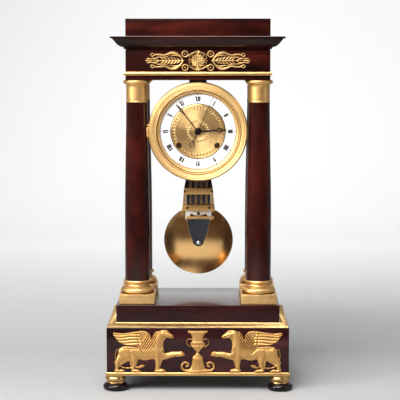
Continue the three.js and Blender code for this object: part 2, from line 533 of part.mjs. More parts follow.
function gridiron() {
  const { steelR, steelPitch, brassR, brassY, steelY, footZ, headZ, innerHalf, frontY, wallFront,
    wallBack } = GRID;
  const { y, pivotZ } = PENDULUM;
  const recess = box(-4, 4, POINTER.y - GAP, wallFront + 0.5, 278, POINTER.z + 3);
  const stud = rodAcross(0.8, POINTER.y - 0.6, wallFront, 0, POINTER.z);
  const foot = collar(27.9, 26.9, 279, 289.6).add(box(-26.9, 26.9, 28.6, frontY + 0.1, 279, 289.6))
    .subtract(recess);
  const brassWork = [foot, stud, collar(25.1, 24.5, 307, 317.3), collar(22.8, 22.8, 370, 380)];
  for (const s of [-1, 1]) {
    brassWork.push(plate(polygon([[s * 21.4, 289], [s * 27, 289], [s * 25.2, 308], [s * 21.4, 308]]),
      frontY, wallFront));
  }
  for (const x of [-1.5, -0.5, 0.5, 1.5]) brassWork.push(rodUp(brassR, footZ + 1, headZ + 1, x * steelPitch,
    brassY));
  brassWork.push(box(-21, 28, 22.3, 34.5, footZ, footZ + 3.8).subtract(box(21, 29, 28.8, 40, footZ - 1,
    footZ + 5)));
  brassWork.push(box(-22, 22, frontY, GRID.backY, headZ, headZ + 9));
  brassWork.push(box(-3, 3, 32, 40, headZ + 8, 476).subtract(box(-0.6, 0.6, 30, 42, 468, 477)));
  brassWork.push(rodAcross(1.2, 5.6, frontY + 1, 0, 375));
  add("gridiron_frame", joined(brassWork), brass);

  const steel = [box(-19, 19, steelY - 1.1, steelY + 1.6, headZ - 7, headZ - 3)];
  for (const i of [-2, -1, 0, 1, 2]) steel.push(rodUp(steelR, footZ + 4.2, headZ - GAP, i * steelPitch,
    steelY, 14));
  for (const s of [-1, 1]) {
    const wing = polygon([[s * 19, 336], [s * 20.9, 336], [s * 24.4, 317.7], [s * 19, 317.7]]);
    steel.push(plate(wing, steelY - 2, steelY + 2));
  }
  add("gridiron_steel_rods", joined(steel), greySteel);

  const dialPlate = box(-20.8, 20.8, 31.1, 31.9, footZ + 4.1, 278.7);
  const sector = ribbon([[-14, 272], [-8, 270.4], [0, 269.8], [8, 270.4], [14, 272]], 1.8, 10);
  add("temperature_scale", dialPlate.add(plate(sector, 30.8, 31.2)), enamel);
  const [y0, y1] = [POINTER.y, POINTER.y + 0.6];
  const lobes = [[0, 276.4, 1.2], [-1.6, 274, 1.5], [1.6, 274, 1.5],
    [0, POINTER.z, 2]].map(([x, z, r]) => rodAcross(r, y0, y1, x, z, 12));
  const stem = plate(polygon([[0, 270], [0.8, 272.4], [0.8, POINTER.z], [-0.8, POINTER.z], [-0.8, 272.4]]),
    y0, y1);
  const hung = joined([...lobes, stem]).subtract(rodAcross(1.1, y0 - 1, y1 + 1, 0, POINTER.z, 12));
  add("temperature_pointer", hung, greySteel);
}

function bob() {
  const { y, bobZ, bobR, bobHalfThick } = PENDULUM;
  const bulge = [1, 0.92, 0.78, 0.6, 0.42, 0.22, 0].map((t) => [t * bobR, bobHalfThick * (1 - t * t) + 0.6]);
  const front = bulge.map(([r, h]) => [r, y - h]);
  const back = bulge.map(([r, h]) => [r, y + h]).reverse();
  const lens = turnedAcross([...back, ...front], 0, bobZ, 40);
  const notch = box(-21.6, 21.6, 0, 60, GRID.footZ - GAP, 320).add(box(-28.6, 28.6, 0, 60, 278.6, 320));
  const screwZ = bobZ - 4;
  add("pendulum_bob", lens.subtract(notch).subtract(rodAcross(1.9, 0, 33, 0, screwZ)), brass);

  const top = GRID.footZ - GAP;
  const tipR = 9.8;
  const tipZ = bobZ - 1.5;
  const lean = Math.atan2(20.5 - tipR, top - tipZ);
  const tongue = new THREE.Shape().moveTo(20.5, top).lineTo(-20.5, top);
  tongue.absarc(0, tipZ, tipR, Math.PI + lean, 2 * Math.PI - lean, false);
  const screw = turnedAcross([[0, 19.6], [2, 19.8], [3.3, 20.4], [3.6, 22.4], [1.6, 22.4], [1.6, 32],
    [0, 32]], 0, screwZ, 16);
  add("bob_bracket", plate(tongue, 21.9, 24.1, 16).add(screw), blueSteel);
}

// ---------------------------------------------------------------- the clock
feet();
base();
add("griffin_left", griffin(1), giltBronze);
add("griffin_right", griffin(-1), giltBronze);
add("urn_mount", urn(), giltBronze);
columns();
entablature();
add("frieze_mount", friezeMount(), giltBronze);
dial();
plates();
train();
anchor();
strike();
hands();
suspension();
gridiron();
bob();

export default part;
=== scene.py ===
import json
import math

import bmesh
import bpy
import numpy as np
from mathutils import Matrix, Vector


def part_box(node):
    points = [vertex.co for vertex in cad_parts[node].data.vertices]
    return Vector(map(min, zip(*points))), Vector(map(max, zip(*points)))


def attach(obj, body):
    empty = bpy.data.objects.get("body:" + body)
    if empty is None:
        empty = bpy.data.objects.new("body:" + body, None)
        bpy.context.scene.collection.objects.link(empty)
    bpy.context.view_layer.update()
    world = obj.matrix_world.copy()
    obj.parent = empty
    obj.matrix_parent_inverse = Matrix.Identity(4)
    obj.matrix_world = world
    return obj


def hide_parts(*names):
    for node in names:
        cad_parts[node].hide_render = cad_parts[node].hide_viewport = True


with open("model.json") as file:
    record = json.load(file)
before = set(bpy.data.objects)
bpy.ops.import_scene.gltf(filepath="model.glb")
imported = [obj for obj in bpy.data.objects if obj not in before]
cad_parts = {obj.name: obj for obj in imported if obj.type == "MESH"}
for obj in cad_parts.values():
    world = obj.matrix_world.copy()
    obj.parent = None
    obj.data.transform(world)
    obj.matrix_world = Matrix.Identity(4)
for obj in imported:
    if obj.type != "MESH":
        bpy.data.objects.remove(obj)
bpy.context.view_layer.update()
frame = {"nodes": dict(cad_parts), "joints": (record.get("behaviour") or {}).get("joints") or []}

# ---------------------------------------------------------------- driving values
MM = 0.001
CORNERS = ["front_left", "front_right", "rear_left", "rear_right"]
COLUMN_FACETS = 112
DIAL_FACETS = 192
LEAF_PITCH = 4.2  # leaves along the gilt ledge of the base
HAND_TURN = {"hour_hand": 86.8, "minute_hand": 321.6, "seconds_hand": 24.0}  # degrees clockwise from twelve
ROMAN = ["XII", "I", "II", "III", "IIII", "V", "VI", "VII", "VIII", "IX", "X", "XI"]
NUMERAL = {"r": 48.6, "height": 7.8, "thick": 1.95, "thin": 1.1, "serif": 0.4}
ADVANCE = {"I": 2.15, "V": 4.1, "X": 4.1}  # width of each letter
COLLARS = [(279, 289.6, 27.9, 26.9, 28.6), (307, 317.3, 25.1, 24.5, 30), (370, 380, 22.8, 22.8, 30)]
COLLAR_BACK = 32.4  # back face of the collars in front of the rods
ROD_PITCH = 9
SCALE_PITCH = 2.1  # marks on the temperature scale
PLATE_ARBORS = [(0, 0), (0, -27), (30.8, -23), (-30.8, -23)]  # from the dial's centre, on the back plate

CAMERA_AT = (0.0207, -2.320, 0.5725)
CAMERA_AIM = (0.0029, 0.0, 0.3012)
CAMERA_LENS = 126.3
WORLD_FRONT = (0.075, 0.045, 0.035)  # the dark room behind the camera
WORLD_SIDES = (0.24, 0.244, 0.25)
WORLD_SEEN = (0.88, 0.9, 0.92)
SWEEP = {"front": -2400.0, "depth": 2600.0, "wide": 2400.0, "tall": 4200.0, "bend": 900.0}
AIM = (0, 0, 0.3)
WHITE = (1, 1, 1)
LAMPS = [  # name, place, aim, size, power in watts, spread in degrees, colour
    ("key_front", (-0.75, -1.75, 2.1), AIM, (1.6, 1.0), 25, 95, WHITE),
    ("key_left", (-2.2, -1.5, 1.5), AIM, (1.2, 1.5), 18, 80, (1, 0.99, 0.97)),
    ("fill_right", (2.4, -1.1, 1.2), AIM, (0.9, 1.5), 2, 80, WHITE),
    ("overhead", (0, 0.5, 2.3), (0, 0.2, 0), (1.8, 1.2), 6, 120, WHITE),
    ("backdrop", (0, 0.9, 2.3), (0, 2.7, 1.0), (3.6, 0.8), 30, 130, WHITE),
    ("under_left", (-1.5, 0.7, 0.14), (0, 0, 0), (0.4, 0.2), 0.9, 70, WHITE),
    ("under_right", (1.5, 0.7, 0.14), (0, 0, 0), (0.4, 0.2), 0.9, 70, WHITE),
    ("floor_front", (0, -1.1, 2.2), (0, -1.0, 0), (1.2, 0.6), 10, 60, WHITE),
]


# ---------------------------------------------------------------- places taken from the frame
def box_mm(node):
    """Lowest and highest corner of a CAD node in millimetres."""
    low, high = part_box(node)
    return np.array(low) / MM, np.array(high) / MM


def centre_of(node):
    low, high = box_mm(node)
    return (low + high) / 2


DIAL_X, _, DIAL_Z = centre_of("chapter_ring")
DIAL_FACE = box_mm("dial_centre")[0][1]
BASE_LOW, BASE_HIGH = box_mm("base_box")
BOX_LOW, BOX_HIGH = box_mm("entablature_box")
HINGES = {j["name"]: np.array(j["pos_m"]) / MM for j in frame["joints"]}
MOUNT_GROUND = BASE_LOW[2] + 5.6  # what the griffins and the urn stand on


# ---------------------------------------------------------------- meshes
def piece(name, shape, material, node=None, body="case", angle=35, clean=True):
    """A mesh from millimetre vertices that rides a body and stands for a CAD node."""
    verts, faces = shape
    mesh = bpy.data.meshes.new(name)
    mesh.from_pydata((np.asarray(verts, float) * MM).tolist(), [], [tuple(map(int, f)) for f in faces])
    if clean:
        bm = bmesh.new()
        bm.from_mesh(mesh)
        bmesh.ops.remove_doubles(bm, verts=bm.verts, dist=1e-6)
        bmesh.ops.dissolve_degenerate(bm, dist=1e-7, edges=bm.edges)
        bmesh.ops.recalc_face_normals(bm, faces=bm.faces)
        bm.to_mesh(mesh)
        bm.free()
    mesh.shade_smooth()
    mesh.set_sharp_from_angle(angle=math.radians(angle))
    mesh.materials.append(material)
    obj = bpy.data.objects.new(name, mesh)
    bpy.context.scene.collection.objects.link(obj)
    if body:
        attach(obj, body)
    if node:
        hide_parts(node)
    return obj


def joined(parts):
    """Vertices and faces of several shells as one list."""
    verts, faces, start = [], [], 0
    for v, f in parts:
        verts.append(np.asarray(v, float))
        rows = f.tolist() if isinstance(f, np.ndarray) else f
        faces += [[i + start for i in row] for row in rows]
        start += len(v)
    return np.vstack(verts), faces


def quads_of(rows, cols, loop_rows=False, loop_cols=False):
    """Faces between neighbouring rows and columns of a grid of vertices."""
    ids = np.arange(rows * cols).reshape(rows, cols)
    if loop_rows:
        ids = np.vstack([ids, ids[:1]])
    if loop_cols:
        ids = np.hstack([ids, ids[:, :1]])
    return np.stack([ids[:-1, :-1], ids[:-1, 1:], ids[1:, 1:], ids[1:, :-1]], axis=-1).reshape(-1, 4)


def shell(quads, top, under):
    """A closed shell: a sheet of faces, the same sheet behind it, and walls round its rims.

    Also gives the numbers of the vertices that are left."""
    total = len(top)
    edges = np.concatenate([quads[:, [k, (k + 1) % 4]] for k in range(4)])
    rim = edges[~np.isin(edges[:, 0] * total + edges[:, 1], edges[:, 1] * total + edges[:, 0])]
    walls = np.stack([rim[:, 1], rim[:, 0], rim[:, 0] + total, rim[:, 1] + total], axis=-1)
    faces = np.concatenate([quads, quads[:, ::-1] + total, walls])
    used, renamed = np.unique(faces, return_inverse=True)
    return (np.concatenate([top, under])[used], renamed.reshape(-1, 4)), used


def smooth(points, steps=6):
    """A Catmull-Rom line through the points."""
    p = np.array(points, float)
    p = np.vstack([2 * p[0] - p[1], p, 2 * p[-1] - p[-2]])
    out = []
    for i in range(1, len(p) - 2):
        for t in np.linspace(0, 1, steps, endpoint=False):
            out.append(0.5 * (2 * p[i] + (p[i + 1] - p[i - 1]) * t
                              + (2 * p[i - 1] - 5 * p[i] + 4 * p[i + 1] - p[i + 2]) * t ** 2
                              + (3 * p[i] - p[i - 1] - 3 * p[i + 1] + p[i + 2]) * t ** 3))
    return np.array(out + [p[-2]])


def eased(points, radius=0.5, closed=False, steps=3):
    """The same outline with its corners rounded."""
    p = [np.array(q, float) for q in points]
    n = len(p)
    out = []
    for i, q in enumerate(p):
        if not closed and i in (0, n - 1):
            out.append(q)
            continue
        to_a, to_b = p[i - 1] - q, p[(i + 1) % n] - q
        la, lb = np.linalg.norm(to_a), np.linalg.norm(to_b)
        cut = min(radius, la / 2.1, lb / 2.1)
        a, b = q + to_a / la * cut, q + to_b / lb * cut
        for t in np.linspace(0, 1, steps + 1):
            out.append((1 - t) ** 2 * a + 2 * t * (1 - t) * q + t ** 2 * b)
    return np.array(out)


def divided(line, step, wanted):
    """The line with more points: one every step or so, on the stretches that start at a wanted point."""
    out = []
    for a, b in zip(line, np.roll(line, -1, 0)):
        count = max(1, int(np.linalg.norm(b - a) / step)) if wanted(a) else 1
        out += [a + (b - a) * t for t in np.linspace(0, 1, count, endpoint=False)]
    return np.array(out)


def oblong(x, half, low, high):
    return [(x - half, low), (x + half, low), (x + half, high), (x - half, high)]


def turned(profile, x, other, axis="Z", steps=96, closed=False):
    """A [radius, height] profile turned round an axis along Z through x, y, or along Y through x, z."""
    profile = np.asarray(profile, float)
    turn = np.linspace(0, 2 * np.pi, steps, endpoint=False)
    r, h = profile[:, :1], profile[:, 1:]
    u, v = x + r * np.cos(turn), other + r * np.sin(turn)
    flat = np.broadcast_to(h, u.shape)
    grid = np.stack([u, v, flat] if axis == "Z" else [u, flat, v], axis=-1).reshape(-1, 3)
    return grid, quads_of(len(profile), steps, closed, True)


def on_dial(profile, steps=DIAL_FACETS, closed=True):
    """A profile of [radius, y] turned round the axis of the dial."""
    return turned(profile, DIAL_X, DIAL_Z, "Y", steps, closed)


def rod(r, low, high, x, other, steps=24, axis="Z", ease=0.3):
    return turned(eased([(0, low), (r, low), (r, high), (0, high)], ease), x, other, axis, steps)


def capped(line):
    """A profile carried in to the axis at both ends."""
    return np.vstack([[0, line[0][1]], line, [0, line[-1][1]]])


def loop_moulding(profile, half_x, half_y, closed=True):
    """A profile of [inset, z] swept round a rectangle with mitred corners."""
    signs = [(-1, -1), (1, -1), (1, 1), (-1, 1)]
    verts = [[sx * (half_x - u), sy * (half_y - u), z] for u, z in profile for sx, sy in signs]
    n = len(profile)
    faces = quads_of(n, 4, closed, True).tolist()
    if not closed:
        faces += [[3, 2, 1, 0], [(n - 1) * 4 + j for j in range(4)]]
    return np.array(verts), faces


def block(low, high, ease=0.6):
    """A box with its edges rounded."""
    low, high = np.array(low, float), np.array(high, float)
    bm = bmesh.new()
    bmesh.ops.create_cube(bm, size=1)
    for v in bm.verts:
        v.co = Vector((low + high) / 2) + Vector(np.array(v.co) * (high - low))
    bmesh.ops.bevel(bm, geom=list(bm.edges), offset=ease, segments=3, profile=0.5, affect="EDGES")
    bm.verts.index_update()
    out = np.array([v.co[:] for v in bm.verts]), [[v.index for v in f.verts] for f in bm.faces]
    bm.free()
    return out


def bar(line, widths, depth, y):
    """A strip with a rounded front along a line in x and z, from its back at y to depth nearer the viewer."""
    p = np.asarray(line, float)
    t = np.gradient(p, axis=0)
    t /= np.linalg.norm(t, axis=1, keepdims=True)
    w = np.interp(np.linspace(0, 1, len(p)), np.linspace(0, 1, len(widths)), widths)
    section = [(-1, 0), (-1, 0.55), (-0.72, 0.86), (0, 1), (0.72, 0.86), (1, 0.55), (1, 0)]
    rows = [np.column_stack([p[:, 0] - t[:, 1] * w * a, np.full(len(p), y - depth * b),
                             p[:, 1] + t[:, 0] * w * a]) for a, b in section]
    m = len(section)
    last = (len(p) - 1) * m
    faces = quads_of(len(p), m, False, True).tolist()
    faces += [list(range(m))[::-1], [last + k for k in range(m)]]
    return np.stack(rows, axis=1).reshape(-1, 3), faces


def prism(outline, y0, y1):
    """A flat outline in x and z given a thickness from y0 back to y1."""
    n = len(outline)
    verts = [[x, y, z] for y in (y0, y1) for x, z in outline]
    faces = [list(range(n)), [n + i for i in range(n)][::-1]]
    faces += [[i, i + n, (i + 1) % n + n, (i + 1) % n] for i in range(n)]
    return np.array(verts), faces


def radial_uv(obj, name):
    """A UV map round the dial axis: U runs outwards and V round, so that a tangent from it is radial."""
    mesh = obj.data
    co = np.array([v.co for v in mesh.vertices]) / MM
    x, z = co[:, 0] - DIAL_X, co[:, 2] - DIAL_Z
    uv = np.column_stack([np.hypot(x, z) / 90, np.arctan2(z, x) / 7])
    layer = mesh.uv_layers.new(name=name)
    corners = np.zeros(len(mesh.loops), int)
    mesh.loops.foreach_get("vertex_index", corners)
    layer.data.foreach_set("uv", uv[corners].ravel())


def shade_by(obj, values):
    """Stores how deep in a hollow each vertex lies, for the gilding to paint shade by."""
    layer = obj.data.attributes.new("ground", "FLOAT", "POINT")
    layer.data.foreach_set("value", np.asarray(values, float))


# ---------------------------------------------------------------- materials
class Nodes:
    """Builds the node tree of a material or a world with few words."""

    def __init__(self, owner, shader="Principled BSDF", place="Object"):
        owner.use_nodes = True
        self.owner = owner
        self.tree = owner.node_tree
        self.shader = self.tree.nodes[shader]
        self.coords = self.add("ShaderNodeTexCoord").outputs[place]

    def feed(self, socket, value):
        """Sets a number or colour on the socket itself, and links an output to it."""
        if isinstance(value, (int, float)):
            socket.default_value = value
        elif isinstance(value, tuple):
            socket.default_value = (*value, 1)
        else:
            self.tree.links.new(value, socket)

    def add(self, kind, inputs=None, **values):
        node = self.tree.nodes.new(kind)
        for key, value in values.items():
            setattr(node, key, value)
        for key, value in (inputs or {}).items():
            self.feed(node.inputs[key], value)
        return node

    def noise(self, scale, detail=3.0, rough=0.5, stretch=(1, 1, 1), distortion=0.0):
        mapping = self.add("ShaderNodeMapping", {"Vector": self.coords})
        mapping.inputs["Scale"].default_value = stretch
        values = {"Vector": mapping.outputs[0], "Scale": scale, "Detail": detail, "Roughness": rough,
                  "Distortion": distortion}
        return self.add("ShaderNodeTexNoise", values).outputs["Fac"]

    def ramp(self, value, stops):
        """A colour or grey ramp over [position, colour] stops."""
        r = self.add("ShaderNodeValToRGB", {0: value})
        while len(r.color_ramp.elements) < len(stops):
            r.color_ramp.elements.new(0.5)
        for e, (at, colour) in zip(r.color_ramp.elements, stops):
            e.position = at
            e.color = (*colour, 1) if isinstance(colour, tuple) else (colour, colour, colour, 1)
        return r.outputs[0]

    def span(self, value, low, high, from_low=0.3, from_high=0.7, how="LINEAR"):
        """Maps the value from one range to another."""
        values = {"Value": value, "From Min": from_low, "From Max": from_high, "To Min": low, "To Max": high}
        return self.add("ShaderNodeMapRange", values, interpolation_type=how).outputs[0]

    def mix(self, fac, a, b, blend="MIX"):
        return self.add("ShaderNodeMix", {0: fac, 6: a, 7: b}, data_type="RGBA", blend_type=blend).outputs[2]

    def math(self, operation, a, b):
        return self.add("ShaderNodeMath", {0: a, 1: b}, operation=operation).outputs[0]

    def bump(self, height, strength, distance):
        bump = self.add("ShaderNodeBump", {"Height": height, "Strength": strength, "Distance": distance})
        self.feed(self.shader.inputs["Normal"], bump.outputs[0])

    def set(self, **values):
        """Sets or links sockets of the shader, and gives back the finished material."""
        for key, value in values.items():
            self.feed(self.shader.inputs[key.replace("_", " ")], value)
        return self.owner


def material_nodes(name):
    return Nodes(bpy.data.materials.new(name))


def mahogany(name, grain, shades, figure=1.0, coat=(0.35, 0.6), haze=0.06):
    """French polished mahogany. grain is the scale along X, Y and Z, small along the grain.

    shades are its dark, middle and light colour, and figure is how strong its flames are.
    coat is the strength of the polish on upright faces and on faces that look up, which keep it best.
    haze is the roughness of the polish."""
    n = material_nodes(name)
    broad = n.noise(26, 4, 0.55, grain, 1.2)
    flame = n.noise(14, 3, 0.6, tuple(g ** 0.6 for g in grain), 1.6)
    fine = n.noise(220, 3, 0.7, grain)
    pores = n.noise(900, 2, 0.6, grain)
    base = n.ramp(broad, list(zip((0.3, 0.5, 0.72), shades)))
    lit = n.ramp(flame, [(0.4, 0.55), (0.64, 1.0 + 0.3 * figure)])
    tone = n.mix(1.0, base, lit, "MULTIPLY")
    threads = n.ramp(fine, [(0.35, 0.62), (0.6, 1.0)])
    tone = n.mix(0.55, tone, threads, "MULTIPLY")
    facing = n.add("ShaderNodeSeparateXYZ", {0: n.add("ShaderNodeNewGeometry").outputs["Normal"]})
    n.bump(pores, 0.05, 0.0002)
    return n.set(Base_Color=tone, Roughness=n.span(fine, 0.4, 0.55), Specular_IOR_Level=0.05,
                 Coat_Weight=n.span(facing.outputs["Z"], *coat, 0.3, 0.9), Coat_Roughness=haze, Coat_IOR=1.6)


def gilding(name, colour, rough, worn, bump=0.12, scale=90, hollow=2.5, chased=False):
    """Fire-gilt bronze: satin, a little uneven, browner where the gold is thin, and with painted shade deep
    in the hollows.

    hollow is how far in millimetres the painted shade reaches out of a corner."""
    n = material_nodes(name)
    cloud = n.noise(scale, 5, 0.62)
    grit = n.noise(1400, 3, 0.6)
    brown = tuple(c * f for c, f in zip(colour, (0.74, 0.6, 0.46)))
    painted_shade = tuple(c * f for c, f in zip(colour, (0.3, 0.19, 0.12)))
    tone = n.mix(n.span(cloud, worn, 0.0, 0.36, 0.6), colour, brown)
    # painted shade: ambient occlusion darkens the colour in corners and recesses
    openness = n.add("ShaderNodeAmbientOcclusion", {"Distance": hollow * MM}, samples=6).outputs["AO"]
    tone = n.mix(n.span(openness, 0.95, 0.0, 0.45, 0.85), tone, painted_shade)
    # chased work is darkened again by its stored hollows: painted shade
    if chased:
        ground = n.add("ShaderNodeAttribute", attribute_name="ground").outputs["Fac"]
        tone = n.mix(n.span(ground, 0.0, 0.75, 0.1, 0.8), tone, painted_shade)
    n.bump(grit, bump, 0.0002)
    return n.set(Base_Color=tone, Metallic=1.0, Roughness=n.span(cloud, *rough))


def metal(name, colour, rough, scale=60, bump=0.05, stretch=(1, 1, 1), tint=0.25):
    """Brass or steel with darker clouds and fine scratches, drawn out along an axis if it is stretched."""
    n = material_nodes(name)
    cloud = n.noise(scale, 4, 0.6, stretch)
    scratch = n.noise(700, 2, 0.5, stretch)
    darker = tuple(c * 0.55 for c in colour)
    tone = n.mix(n.span(cloud, tint, 0.0), colour, darker)
    n.bump(scratch, bump, 0.0001)
    return n.set(Base_Color=tone, Metallic=1.0, Roughness=n.span(cloud, *rough))


def enamel():
    n = material_nodes("white_enamel")
    cloud = n.noise(40, 3, 0.5)
    tone = n.mix(n.span(cloud, 0.0, 0.5), (0.95, 0.955, 0.97), (0.9, 0.905, 0.92))
    n.bump(cloud, 0.02, 0.0004)
    return n.set(Base_Color=tone, Roughness=n.span(cloud, 0.18, 0.24), Coat_Weight=0.6, Coat_Roughness=0.05)


def ink():
    n = material_nodes("dial_black")
    cloud = n.noise(300, 3, 0.5)
    return n.set(Base_Color=n.mix(cloud, (0.006, 0.006, 0.008), (0.016, 0.015, 0.016)), Roughness=0.3)


def glass():
    """Thin clear glass: almost nothing but its reflections."""
    n = material_nodes("bezel_glass")
    tone = n.mix(n.noise(30, 2, 0.5), (0.93, 0.96, 0.96), (0.97, 0.98, 0.98))
    return n.set(Base_Color=tone, Metallic=1.0, Roughness=0.02, Alpha=0.05)


def guilloche():
    """Engine-turned gilding: rings cut so fine that they spread the light along the radius."""
    n = material_nodes("gilt_guilloche")
    tangent = n.add("ShaderNodeTangent", direction_type="UV_MAP", uv_map="turning")
    grit = n.noise(500, 3, 0.6)
    tone = n.mix(n.span(grit, 0.0, 0.3), (0.98, 0.67, 0.3), (0.9, 0.56, 0.21))
    # painted shade: the stored ground darkens the gold between the leaves and beside the rings
    ground = n.add("ShaderNodeAttribute", attribute_name="ground").outputs["Fac"]
    tone = n.mix(ground, tone, (0.42, 0.24, 0.08))
    n.bump(grit, 0.06, 0.0002)
    return n.set(Tangent=tangent.outputs[0], Base_Color=tone, Metallic=1.0,
                 Roughness=n.span(ground, 0.42, 0.5, 0.0, 1.0), Anisotropic=0.72)


ALONG_X, ALONG_Z = (0.14, 0.6, 1), (1, 1, 0.1)
WOOD_ACROSS = mahogany("mahogany_across", (0.12, 0.6, 1),
                       [(0.009, 0.0015, 0.0013), (0.028, 0.0037, 0.0026), (0.078, 0.0098, 0.0048)])
WOOD_UP = mahogany("mahogany_upright", (1, 1, 0.35),
                   [(0.018, 0.0022, 0.0016), (0.033, 0.0037, 0.0022), (0.056, 0.0064, 0.0031)],
                   0.7, (0.42, 0.6))
WOOD_BASE = mahogany("mahogany_base", ALONG_X,
                     [(0.014, 0.0034, 0.004), (0.032, 0.0062, 0.0066), (0.05, 0.009, 0.0085)],
                     0.5, (0.3, 0.6))
WOOD_SLAB = mahogany("mahogany_plinth", ALONG_X,
                     [(0.014, 0.0034, 0.004), (0.026, 0.005, 0.0054), (0.045, 0.008, 0.008)],
                     0.3, (0.22, 1.0), 0.22)
WOOD_FOOT = mahogany("ebonised_foot", (0.6, 0.6, 1),
                     [(0.004, 0.002, 0.0025), (0.008, 0.004, 0.0045), (0.016, 0.006, 0.006)], 0.3)
GILT = gilding("gilt_satin", (0.8, 0.5, 0.19), (0.4, 0.52), 0.25)
GILT_BASE = gilding("gilt_column_foot", (0.74, 0.475, 0.2), (0.4, 0.5), 0.35, hollow=4)
GILT_BRIGHT = gilding("gilt_burnished", (0.84, 0.53, 0.2), (0.28, 0.38), 0.25, 0.06)
GILT_FOOT = gilding("gilt_foot_collar", (0.56, 0.34, 0.135), (0.24, 0.34), 0.5, 0.08)
GILT_CHASED = gilding("gilt_chased", (0.67, 0.395, 0.14), (0.42, 0.52), 0.4, 0.2, 160, 2.4, True)
GILT_LEDGE = gilding("gilt_ledge", (0.9, 0.62, 0.27), (0.34, 0.46), 0.2, 0.1, 120, 2, True)
GILT_TURNED = gilding("gilt_turned", (0.85, 0.565, 0.24), (0.42, 0.52), 0.2, 0.08, 60, 0.6)
BRASS = metal("lacquered_brass", (0.72, 0.47, 0.19), (0.18, 0.3))
BRASS_DARK = metal("aged_brass", (0.3, 0.15, 0.05), (0.2, 0.34), 80, 0.04, ALONG_Z)
BRASS_BOB = metal("bob_brass", (0.9, 0.555, 0.22), (0.17, 0.25), 34, 0.07, (1, 1, 1.2), 0.3)
STEEL = metal("polished_steel", (0.14, 0.125, 0.115), (0.16, 0.28), 60, 0.04, ALONG_Z)
BRASS_RODS = metal("rod_brass", (0.42, 0.25, 0.1), (0.14, 0.24), 80, 0.04, ALONG_Z)
STEEL_RODS = metal("rod_steel", (0.075, 0.068, 0.062), (0.1, 0.18), 60, 0.04, ALONG_Z)
STEEL_BRIGHT = metal("bright_steel", (0.72, 0.73, 0.75), (0.08, 0.14), 60, 0.03)
STEEL_DARK = metal("dark_steel", (0.045, 0.03, 0.024), (0.25, 0.4))
BLUED = metal("blued_steel", (0.02, 0.02, 0.027), (0.2, 0.32), 50, 0.03, (1, 1, 0.3))
BRACKET = metal("bracket_steel", (0.075, 0.08, 0.095), (0.36, 0.5), 70, 0.12, (1, 1, 0.4), 0.4)
BELL = metal("bell_metal", (0.55, 0.47, 0.28), (0.2, 0.36), 80)
ENAMEL = enamel()
INK = ink()
GLASS = glass()
GUILLOCHE = guilloche()


# ---------------------------------------------------------------- relief work
def mirrored(points, side, base, flip=1):
    """Points of a mount, drawn from its middle line and its ground, put in place on one side."""
    return np.array([[side * x, base + flip * z] for x, z in points])


